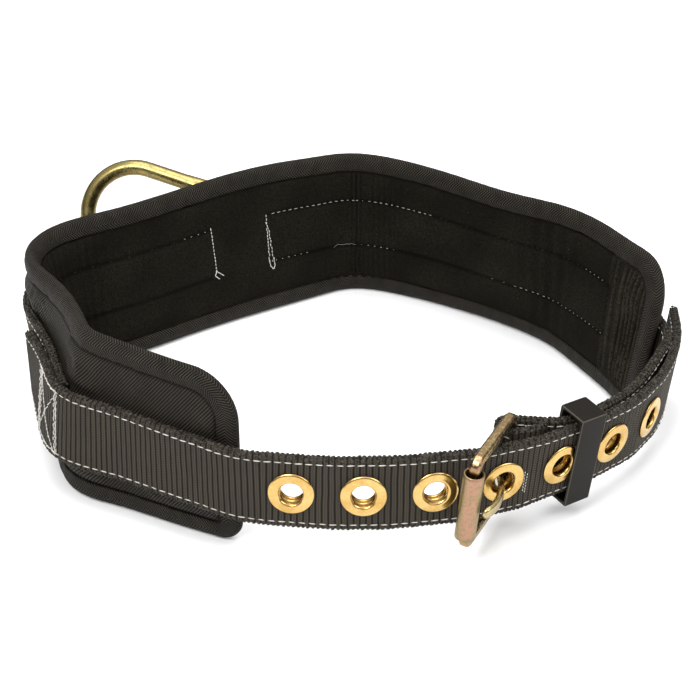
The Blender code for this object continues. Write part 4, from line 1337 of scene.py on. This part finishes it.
def rods(name, seats, radius, length):
    """One mesh of round rods at the seats, to cut the strap's holes with."""
    mesh = bpy.data.meshes.new(name)
    with shaping(mesh) as shape:
        for seat in seats:
            made = bmesh.ops.create_cone(shape, cap_ends=True, segments=40, radius1=radius,
                                         radius2=radius, depth=length)
            bmesh.ops.transform(shape, matrix=seat, verts=made["verts"])
    return add_object(name, mesh)


def node_points(name):
    coordinates = np.zeros(len(NODES[name].data.vertices) * 3)
    NODES[name].data.vertices.foreach_get("co", coordinates)
    return np.unique(np.round(coordinates.reshape(-1, 3), 6), axis=0)


def round_seat(name, shortest=True):
    """Place and axis of a round node, from its own points."""
    points = node_points(name)
    middle = points.mean(axis=0)
    _, vectors = np.linalg.eigh(np.cov((points - middle).T))
    axis = vectors[:, 0] if shortest else vectors[:, 2]
    reach = (points - middle) @ axis
    return middle + axis * (reach.min() + reach.max()) / 2, axis


def seat_matrix(centre, axis, up=(0.0, 0.0, 1.0)):
    z = Vector(axis).normalized()
    y = Vector(up)
    y = (y - z * y.dot(z)).normalized()
    x = y.cross(z)
    turned = Matrix((x, y, z)).transposed().to_4x4()
    turned.translation = Vector(centre)
    return turned


def grommet_seats():
    """The grommets' seats, with Z away from the wearer."""
    seats = []
    for number in range(1, GROMMET_COUNT + 1):
        centre, axis = round_seat(f"grommet_{number}")
        if Vector(axis).dot(Vector((centre[0], centre[1], 0.0))) < 0:
            axis = -axis
        seats.append(seat_matrix(centre, axis))
    return seats


def turned_mesh(name, profile, sides, seat):
    """Turn a closed profile of radius and height about the Z axis of a seat."""
    angles = np.linspace(0.0, 2 * np.pi, sides, endpoint=False)[:, None]
    radius, height = np.array(profile).T
    places = np.broadcast_arrays(radius * np.cos(angles), radius * np.sin(angles), height)
    faces = grid_faces(sides, len(profile)).tolist()
    mesh = closed_mesh(name, np.stack(places, axis=-1), faces)
    mesh.set_sharp_from_angle(angle=math.radians(50.0))
    mesh.transform(seat)
    return mesh


def make_grommets(material):
    """Rolled grommets: a slightly crowned flange, a rolled throat and a washer behind."""
    face = WEB_THICKNESS / 2 + SEAT_GAP
    profile = [(radius, face + height) for radius, height in GROMMET_FRONT]
    profile += [(radius, -face - height) for radius, height in GROMMET_BACK]
    profile += [(GROMMET_BARREL, -face), (GROMMET_BARREL, face)]
    for number, seat in enumerate(grommet_seats(), start=1):
        name = f"grommet_brass_{number}"
        ring = link(name, turned_mesh(name, profile, GROMMET_SIDES, seat), material)
        put_on(ring, "belt", "grommet_brass", f"grommet_{number}")


def make_roller(material):
    """A thin rolled tube, open at both ends."""
    centre, axis = round_seat("buckle_roller", shortest=False)
    if axis[2] < 0:
        axis = -axis
    points = node_points("buckle_roller") - centre
    reach = points @ axis
    half = (reach.max() - reach.min()) / 2
    radial = np.linalg.norm(points - np.outer(reach, axis), axis=1)
    big, small = radial.max(), radial.min()
    lip = ROLLER_LIP
    corners = np.array([
        (big - lip, half), (big, half - lip), (big, lip - half), (big - lip, -half),
        (small + lip, -half), (small, lip - half), (small, half - lip), (small + lip, half)])
    profile = []
    for first, second in zip(corners, np.roll(corners, -1, axis=0)):
        steps = ROLLER_BANDS if math.dist(first, second) > half else 1
        profile += [first + (second - first) * k / steps for k in range(steps)]
    seat = seat_matrix(centre, axis, (0.0, 1.0, 0.0))
    mesh = turned_mesh("roller_tube", profile, ROLLER_SIDES, seat)
    put_on(link("roller_tube", mesh, material), "belt", "pink_zinc", "buckle_roller")


def refined(name, node, material, bevel, levels, angle):
    """A smoother copy of a node: its loose faces merged, its edges rounded."""
    mesh = NODES[node].data.copy()
    mesh.name = name
    with shaping(mesh) as shape:
        bmesh.ops.remove_doubles(shape, verts=shape.verts, dist=0.00002)
        bmesh.ops.dissolve_limit(shape, angle_limit=math.radians(1.0), verts=shape.verts,
                                 edges=shape.edges)
        bmesh.ops.recalc_face_normals(shape, faces=shape.faces)
    obj = link(name, mesh, material)
    if bevel:
        modify(obj, "BEVEL", width=bevel, segments=3, limit_method="ANGLE",
               angle_limit=math.radians(30.0))
    if levels:
        modify(obj, "SUBSURF", levels=levels, render_levels=levels)
    bake_modifiers(obj)
    obj.data.shade_smooth()
    obj.data.set_sharp_from_angle(angle=math.radians(angle))
    modify(obj, "WEIGHTED_NORMAL", keep_sharp=True)
    return bake_modifiers(obj)


def square_axes(name):
    """The directions that a squared node's largest faces look in, and the one across both."""
    faces = sorted(NODES[name].data.polygons, key=lambda face: -face.area)
    first = faces[0].normal.copy()
    second = next(face.normal.copy() for face in faces if abs(face.normal.dot(first)) < 0.1)
    return tuple(first), tuple(second), tuple(first.cross(second))


def make_hardware(frame_material, tongue_material, keeper_material):
    for name, slot, node, material, bevel, levels, angle in (
            ("buckle_frame_bar", "yellow_zinc", "buckle_frame", frame_material, 0.00045, 0, 40.0),
            ("tongue_bar", "gold_zinc", "buckle_tongue", tongue_material, 0.0, 1, 60.0),
            ("keeper_loop", "keeper_plastic", "strap_keeper", keeper_material, 0.0, 0, 75.0)):
        put_on(refined(name, node, material, bevel, levels, angle), "belt", slot, node)


def ring_path(half, leg):
    """The ring's middle line, from the bar's middle round the bends, legs and arch: how far
    ahead of the bar, and how far along it."""
    bend_turn = np.linspace(0, math.pi / 2, 8)
    leg_run = np.linspace(RING_BEND, leg, 16)[1:-1]
    arch_turn = np.linspace(0, math.pi, 49)
    bar_end = half - RING_BEND
    ahead = RING_BEND - RING_BEND * np.cos(bend_turn)
    past = RING_BEND * np.sin(bend_turn)
    path = [(0.0, y) for y in np.linspace(-bar_end, bar_end, 14)]
    path += [(x, bar_end + y) for x, y in zip(ahead[1:], past[1:])]
    path += [(x, half) for x in leg_run]
    path += [(leg + half * math.sin(t), half * math.cos(t)) for t in arch_turn]
    path += [(x, -half) for x in leg_run[::-1]]
    path += [(x, -bar_end - y) for x, y in zip(ahead[:0:-1], past[:0:-1])]
    return np.array(path)


def make_d_ring(material):
    """A forged ring: a straight bar, two legs that thin away from it, and a round arch."""
    points = node_points("d_ring")
    centre = np.array(HINGE["pos_m"])
    bar = unit(np.array(HINGE["axis"]))
    reach = (points.min(axis=0) + points.max(axis=0)) / 2 - centre
    local = points - centre
    _, vectors = np.linalg.eigh(np.cov((points - points.mean(axis=0)).T))
    third = vectors[:, 0]
    ahead = unit(np.cross(bar, third))
    if ahead @ reach < 0:
        ahead, third = -ahead, -third
    stock = np.abs(local @ third).max()
    half = np.abs(local @ bar).max() - stock
    leg = (local @ ahead).max() - stock - half
    path = ring_path(half, leg)
    forward = unit(np.roll(path, -1, axis=0) - np.roll(path, 1, axis=0))
    side = np.stack([forward[:, 1], -forward[:, 0]], axis=1)
    from_bar = path[:, :1]
    flare = smooth_step(*RING_FILLS_OUT, from_bar) * smooth_step(*RING_THINS_AGAIN, from_bar)
    angles = np.linspace(0.0, 2 * np.pi, 40, endpoint=False)
    radius = RING_STOCK * (1.0 + RING_FLARE * flare) + RING_RIDGE * flare * np.cos(4 * angles)
    x = path[:, :1] + side[:, :1] * radius * np.cos(angles)
    y = path[:, 1:] + side[:, 1:] * radius * np.cos(angles)
    z = radius * np.sin(angles)
    world = centre + x[..., None] * ahead + y[..., None] * bar + z[..., None] * third
    mesh = closed_mesh("d_ring_forged", world, grid_faces(*world.shape[:2]).tolist())
    put_on(link("d_ring_forged", mesh, material), "d_ring", "gold_zinc", "d_ring")


class Growth(Nodes):
    """A geometry node tree with named inputs."""

    def __init__(self, name, inputs):
        super().__init__(bpy.data.node_groups.new(name, "GeometryNodeTree"))
        face = self.tree.interface
        face.new_socket("Geometry", in_out="INPUT", socket_type="NodeSocketGeometry")
        for label, kind in inputs:
            face.new_socket(label, in_out="INPUT", socket_type=kind)
        face.new_socket("Geometry", in_out="OUTPUT", socket_type="NodeSocketGeometry")
        self.given = self.tree.nodes.new("NodeGroupInput")
        self.result = self.tree.nodes.new("NodeGroupOutput")

    def input(self, label):
        return Wire(self, self.given.outputs[label])

    def spaced_points(self):
        """Points at even spacing along the given paths, and how each is turned: X along the
        path and Z the way its cloth faces."""
        curve = self.node("GeometryNodeMeshToCurve", {}, {0: self.input("Geometry")})
        sockets = {"Curve": curve, "Length": self.input("Pitch")}
        points = self.node("GeometryNodeResampleCurve", {"mode": "LENGTH"}, sockets)
        facing = self.node("GeometryNodeInputNamedAttribute", {"data_type": "FLOAT_VECTOR"}, {0: "facing"})
        tangent = self.node("GeometryNodeInputTangent", {}, {})
        aimed = self.node("FunctionNodeAlignRotationToVector", {"axis": "X"}, {"Vector": tangent})
        turned = self.node("FunctionNodeAlignRotationToVector", {"axis": "Z", "pivot_axis": "X"},
                           {"Rotation": aimed, "Vector": facing})
        return points, turned, facing

    def chance(self, kind, low, high):
        """A random value between two limits, from the tree's seed."""
        first, output = {"FLOAT": (2, 1), "FLOAT_VECTOR": (0, 0)}[kind]
        sockets = {first: low, first + 1: high, 8: self.input("Seed")}
        return self.node("FunctionNodeRandomValue", {"data_type": kind}, sockets, output)

    def turn_more(self, turned, angles):
        turn = self.node("FunctionNodeEulerToRotation", {}, {0: angles})
        return self.node("FunctionNodeRotateRotation", {"rotation_space": "LOCAL"}, {0: turned, 1: turn})

    def set_out(self, points, piece, turned, scale):
        """Set the piece at the points and end the tree with real, smooth, coated meshes."""
        sockets = {"Points": points, "Instance": piece, "Rotation": turned, "Scale": scale}
        placed = self.node("GeometryNodeInstanceOnPoints", {}, sockets)
        real = self.node("GeometryNodeRealizeInstances", {}, {0: placed})
        smooth = self.node("GeometryNodeSetShadeSmooth", {}, {0: real})
        coated = self.node("GeometryNodeSetMaterial", {}, {0: smooth, 2: self.input("Material")})
        self.tree.links.new(coated.socket, self.result.inputs[0])
        return self.tree


def run_growth(obj, tree, values):
    """Give an object the tree, set its inputs by their identifiers, and keep the plain mesh."""
    modifier = modify(obj, "NODES", node_group=tree)
    for item in tree.interface.items_tree:
        if item.in_out == "INPUT" and item.name in values:
            modifier[item.identifier] = values[item.name]
    return bake_modifiers(obj)


def stitch_growth():
    """Stitches laid along paths: evenly spaced, a little turned and sunk by chance."""
    growth = Growth("stitches", (
        ("Pitch", "NodeSocketFloat"), ("Length", "NodeSocketFloat"), ("Thread", "NodeSocketFloat"),
        ("Wander", "NodeSocketFloat"), ("Seed", "NodeSocketInt"), ("Material", "NodeSocketMaterial"),
    ))
    points, turned, facing = growth.spaced_points()
    sink = growth.chance("FLOAT", growth.input("Thread") * -0.15, growth.input("Thread") * 0.15)
    depth = growth.node("ShaderNodeVectorMath", {"operation": "SCALE"}, {0: facing, "Scale": sink})
    points = growth.node("GeometryNodeSetPosition", {}, {"Geometry": points, "Offset": depth})
    bead = growth.node("GeometryNodeMeshUVSphere", {}, {"Segments": 8, "Rings": 6, "Radius": 0.5})
    size = growth.node("ShaderNodeCombineXYZ", {}, {
        0: growth.input("Length"), 1: growth.input("Thread"), 2: growth.input("Thread")})
    shaped = growth.node("GeometryNodeTransform", {}, {"Geometry": bead, "Scale": size})
    turn = growth.chance("FLOAT", growth.input("Wander") * -1.0, growth.input("Wander"))
    turned = growth.turn_more(turned, growth.node("ShaderNodeCombineXYZ", {}, {2: turn}))
    return growth.set_out(points, shaped, turned, growth.chance("FLOAT", 0.88, 1.06))


def paths_object(name, paths):
    """One mesh of open paths, each point knowing which way the cloth faces there."""
    points, facings, edges = [], [], []
    for place, facing in paths:
        first = len(points)
        points += place.tolist()
        facings += facing.tolist()
        edges += [(first + k, first + k + 1) for k in range(len(place) - 1)]
    mesh = bpy.data.meshes.new(name)
    mesh.from_pydata(points, edges, [])
    attribute = mesh.attributes.new("facing", "FLOAT_VECTOR", "POINT")
    attribute.data.foreach_set("vector", np.array(facings, dtype=np.float32).ravel())
    return add_object(name, mesh)


def sew(name, paths, tree, material, slot, pitch=STITCH_PITCH, length=STITCH_LENGTH,
        thread=THREAD, wander=0.08, seed=1):
    obj = paths_object(name, paths)
    values = {"Pitch": pitch, "Length": length, "Thread": thread, "Wander": wander, "Seed": seed,
              "Material": material}
    run_growth(obj, tree, values)
    return put_on(obj, "belt", slot)


def pad_path(corners, lift, step=PATH_STEP):
    """A path over the pad's inner face through flat places of s and v."""
    s, v = filled(corners, step).T
    inset = np.minimum(v, PAD_HEIGHT - v)
    _, _, _, out = PAD.frames(s)
    return wrap(s, v, -(lining_face(inset, s, v) + lift)), -out


def make_stitching(base, strap, materials):
    tree = stitch_growth()
    edge = WEB_WIDTH / 2 - ROW_FROM_EDGE
    top = WEB_THICKNESS / 2
    white = materials["white_thread"]
    for name, ribbon, start, before_end, seed in (
            ("strap_stitching", strap, 0.003, 0.003, 1),
            ("base_stitching", base, 0.004, 0.02, 2)):
        rows = [ribbon.path(start, ribbon.length - before_end, height, lift)
                for height in (-edge, edge) for lift in (top, -top)]
        sew(name, rows, tree, white, "webbing", seed=seed)
    make_strap_tacks(base, strap, tree, white, edge, top)
    make_lining_rows(tree, white, materials["dark_thread"])
    make_lining_tacks(tree, white)
    make_loose_thread(tree, materials["grey_thread"])


def zigzag(start, end, reach, step):
    """Corners that swing from side to side of a line, as a tack's thread does."""
    start, end = np.array(start), np.array(end)
    count = max(2, int(np.linalg.norm(end - start) / step))
    side = unit(np.array([end[1] - start[1], start[0] - end[0]])) * reach
    return [tuple(start + (end - start) * k / count + side * (-1) ** k) for k in range(count + 1)]


def make_strap_tacks(base, strap, tree, white, edge, top):
    """The crossed box that sews the grommet strap down, and two small tacks."""
    left, right = BOX_TACK_LEFT, BOX_TACK_RIGHT
    box = [zigzag((high, edge), (low, -edge), swing, 0.0020) for high, low, swing in BOX_COLUMNS]
    box += [[(left + 0.0030, edge - 0.002), (right + 0.0020, -edge)],
            zigzag((right + 0.0010, edge - 0.002), (left + 0.0050, -edge + 0.001), 0.0004, 0.0030),
            zigzag((left, edge), (right, edge), 0.0006, 0.0030),
            zigzag((left, -edge), (right + 0.003, -edge), 0.0005, 0.0030)]
    lines = [strap.line(corners, top + 0.0002) for corners in box]
    sew("box_tack", lines, tree, white, "webbing", pitch=0.0021, length=0.0023, thread=0.00068,
        wander=0.25, seed=7)
    near = strap.nearest(round_seat("grommet_4")[0]) + GROMMET_OUTER - 0.0001
    pair = [[(near + 0.0010, 0.0026), (near + 0.0008, -0.0086)],
            [(near + 0.0026, 0.0010), (near + 0.0021, -0.0100)]]
    end = base.length - 0.004
    ends = [[(end - 0.006, edge + 0.0030), (end, edge + 0.0010)],
            [(end - 0.004, edge), (end + 0.001, edge - 0.0040)]]
    lines = [strap.line(corners, top + 0.0001) for corners in pair]
    lines += [base.line(corners, top) for corners in ends]
    sew("small_tacks", lines, tree, white, "webbing", pitch=0.0016, length=0.0015, thread=0.00054,
        wander=0.25, seed=8)


def level(start, end, height):
    return [(start, height), (end, height)]


def make_lining_rows(tree, white, dark):
    """The lining's two long rows and its end line, pale where their thread shows."""
    low, high = LOW_ROW, HIGH_ROW
    left, right, box_end = LEFT_TACK, RIGHT_TACK, LINING_BOX_END
    left_row_end, right_row_start = left - 0.020, right + 0.0060
    faint_end = right + 0.030
    pale = [level(right_row_start, PALE_ROW_END, high), level(*PALE_LOW_ROW, low)]
    faint = [level(right_row_start, faint_end, low), level(*FAINT_LOW_ROW, low),
             level(PALE_LOW_ROW[1], box_end - 0.002, low),
             level(PALE_AGAIN_FROM, box_end - 0.008, high), level(left_row_end, left - 0.004, high)]
    hidden = [level(PALE_ROW_END, box_end, high), level(faint_end, box_end, low),
              [(box_end, low), (box_end, high)],
              level(BASE_SEWN_FROM, left, low), level(BASE_SEWN_FROM, left_row_end, high)]
    for name, lines, thread, length, width, lift, seed in (
            ("lining_stitching", pale, white, 0.0025, 0.00033, 0.0001, 3),
            ("lining_faint_stitching", faint, white, 0.0010, 0.00034, 0.0002, 11),
            ("lining_dark_stitching", hidden, dark, 0.0022, 0.00044, -0.0001, 9)):
        sew(name, [pad_path(line, lift) for line in lines], tree, thread, "brushed_lining",
            pitch=LINING_PITCH, length=length, thread=width, seed=seed)


def make_lining_tacks(tree, white):
    """The two upright tacks on the lining, and the thread ends below them."""
    left, right = LEFT_TACK, RIGHT_TACK
    fork = (left + 0.0013, 0.0403)
    columns = [[(left, 0.0700), fork],
               [(right + 0.0003, HIGH_ROW - 0.0005), (right + 0.0001, 0.0636)],
               zigzag((right + 0.0001, 0.0636), (right + 0.0002, 0.0366), 0.0004, 0.0020),
               zigzag((right + 0.0012, 0.0600), (right + 0.0033, 0.0358), 0.0004, 0.0020)]
    ends = [[fork, (left + 0.0061, 0.0362)],
            [fork, (left + 0.0001, 0.0373), (left + 0.0026, 0.0348)],
            [(right, 0.0375), (right + 0.0010, 0.0326), (right + 0.0028, 0.0306),
             (right + 0.0042, 0.0322), (right + 0.0040, 0.0375)]]
    for name, tacks, pitch, seed in (("lining_tacks", columns, 0.0024, 4),
                                     ("lining_tack_ends", ends, 0.0012, 12)):
        sew(name, [pad_path(tack, 0.0002) for tack in tacks], tree, white, "brushed_lining",
            pitch=pitch, length=0.0022, thread=0.00060, wander=0.15, seed=seed)


def make_loose_thread(tree, grey):
    """A thread end that lies curled over the lining's lower row."""
    corners = ((-0.0085, -0.0005), (-0.0060, 0.0016), (-0.0020, 0.0006), (0.0020, 0.0010),
               (0.0070, 0.0010))
    curl = [(LOOSE_THREAD + along, LOW_ROW + over) for along, over in corners]
    sew("loose_thread", [pad_path(curl, 0.0003, 0.0005)], tree, grey, "brushed_lining",
        pitch=0.0008, length=0.0013, thread=0.00026, wander=0.1, seed=10)


def knot_growth():
    """Small lumps of yarn set along paths, where the weft turns back at a strap's edge."""
    growth = Growth("edge_knots", (
        ("Pitch", "NodeSocketFloat"), ("Size", "NodeSocketVector"), ("Spread", "NodeSocketFloat"),
        ("Seed", "NodeSocketInt"), ("Material", "NodeSocketMaterial"),
    ))
    points, turned, _ = growth.spaced_points()
    lump = growth.node("GeometryNodeMeshUVSphere", {}, {"Segments": 6, "Rings": 4, "Radius": 0.5})
    shaped = growth.node("GeometryNodeTransform", {}, {"Geometry": lump, "Scale": growth.input("Size")})
    scale = growth.chance("FLOAT", 1.0 - growth.input("Spread"), 1.0 + growth.input("Spread"))
    turned = growth.turn_more(turned, growth.chance("FLOAT_VECTOR", (-0.5, -0.5, -0.6), (0.5, 0.5, 0.6)))
    return growth.set_out(points, shaped, turned, scale)


def edge_paths(ribbon, sign):
    """Paths side by side round one edge of a strap, from its outer face to its inner one."""
    place, across, out = ribbon.at(np.linspace(0.0, ribbon.length, int(ribbon.length / PATH_STEP)))
    up = unit(across) * sign
    along = unit(np.gradient(place, axis=0))
    radius = WEB_THICKNESS / 2 - KNOT_SUNK
    reach = np.linalg.norm(across, axis=1)[:, None] - EDGE_SETBACK - radius
    paths = []
    for k, turn in enumerate(np.radians(np.linspace(-KNOT_TURN, KNOT_TURN, KNOT_ROWS))):
        facing = up * math.cos(turn) + out * math.sin(turn)
        shift = along * KNOT_PITCH / 2 * (k % 2)
        paths.append((place + up * reach + facing * radius + shift, facing))
    return paths


def make_edges(base, strap, material):
    tree = knot_growth()
    for name, ribbon, seed in (("base_strap_edges", base, 5), ("grommet_strap_edges", strap, 6)):
        paths = edge_paths(ribbon, 1.0) + edge_paths(ribbon, -1.0)
        obj = paths_object(name, paths)
        run_growth(obj, tree, {"Pitch": KNOT_PITCH, "Size": KNOT_SIZE, "Spread": KNOT_SPREAD,
                               "Seed": seed, "Material": material})
        put_on(obj, "belt", "webbing")


def tongue_slot():
    """A box that cuts the tongue's slot through the fold of the base strap."""
    anchor, ahead, up, out = buckle_axes()
    seat = Matrix((Vector(ahead), Vector(out), Vector(up))).transposed().to_4x4()
    seat.translation = Vector(anchor - up * TONGUE_DROP)
    mesh = bpy.data.meshes.new("tongue_slot")
    with shaping(mesh) as shape:
        bmesh.ops.create_cube(shape, size=1.0)
        bmesh.ops.scale(shape, vec=TONGUE_SLOT, verts=shape.verts)
        bmesh.ops.transform(shape, matrix=seat, verts=shape.verts)
    return add_object("tongue_slot", mesh)


def make_straps(materials):
    base = base_strap_ribbon()
    strap = grommet_strap_ribbon()
    holes = rods("strap_holes", grommet_seats(), STRAP_HOLE_RADIUS, 4 * WEB_THICKNESS)
    webbing = make_webbing("grommet_strap_webbing", strap, materials["webbing"], holes)
    put_on(webbing, "belt", "webbing", "grommet_strap")
    webbing = make_webbing("base_strap_webbing", base, materials["webbing"], tongue_slot())
    put_on(webbing, "belt", "webbing", "base_strap")
    make_edges(base, strap, materials["knots"])
    make_stitching(base, strap, materials)


def make_camera():
    data = bpy.data.cameras.new("camera")
    data.lens = CAMERA_LENS
    data.sensor_width = CAMERA_SENSOR
    camera = add_object("camera", data)
    camera.location = CAMERA_PLACE
    camera.rotation_euler = CAMERA_TURN
    bpy.context.scene.camera = camera


def make_floor():
    mesh = bpy.data.meshes.new("floor")
    with shaping(mesh) as shape:
        bmesh.ops.create_grid(shape, x_segments=1, y_segments=1, size=FLOOR_REACH)
    floor = link("floor", mesh, floor_finish())
    floor.location.z = -FLOOR_DROP


def make_lights():
    for name, place, size, power in LIGHTS:
        data = bpy.data.lights.new(name, "AREA")
        data.size = size
        data.energy = power
        light = add_object(name, data)
        light.location = place
        aim = Vector(LIT_PLACE) - Vector(place)
        light.rotation_euler = aim.to_track_quat("-Z", "Y").to_euler()


def make_sky():
    """A white sky that dims towards the horizon."""
    world = bpy.data.worlds.new("studio")
    world.use_nodes = True
    sky = Nodes(world.node_tree)
    incoming = sky.node("ShaderNodeTexCoord", {}, {}, 0)
    height = sky.node("ShaderNodeSeparateXYZ", {}, {0: incoming}, 2)
    limits = {0: height, 1: 0.05, 2: 0.75, 3: 0.10, 4: 1.05}
    strength = sky.node("ShaderNodeMapRange", {"interpolation_type": "SMOOTHSTEP"}, limits)
    background = world.node_tree.nodes["Background"]
    background.inputs["Color"].default_value = (1.0, 1.0, 1.0, 1.0)
    world.node_tree.links.new(strength.socket, background.inputs["Strength"])
    bpy.context.scene.world = world
    bpy.context.scene.view_settings.view_transform = "Standard"


def main():
    materials = {
        "webbing": webbing_finish(),
        "knots": knot_finish(),
        "white_thread": thread_finish("white_thread", (0.74, 0.71, 0.66), (0.22, 0.21, 0.19)),
        "grey_thread": thread_finish("grey_thread", (0.26, 0.25, 0.22), (0.10, 0.095, 0.08)),
        "dark_thread": thread_finish("dark_thread", (0.028, 0.026, 0.019), (0.008, 0.0075, 0.0055)),
    }
    make_camera()
    make_floor()
    make_lights()
    make_sky()
    make_pad_cover(nylon_cover_finish())
    make_lining(lining_finish())
    make_binding(binding_finish())
    make_straps(materials)
    make_grommets(brass_finish())
    plating = {name: zinc_finish(name, *values) for name, *values in PLATINGS}
    make_roller(plating["pink_zinc"])
    keeper = keeper_finish(square_axes("strap_keeper"))
    make_hardware(plating["brown_zinc"], plating["green_zinc"], keeper)
    make_d_ring(plating["gold_zinc"])


main()
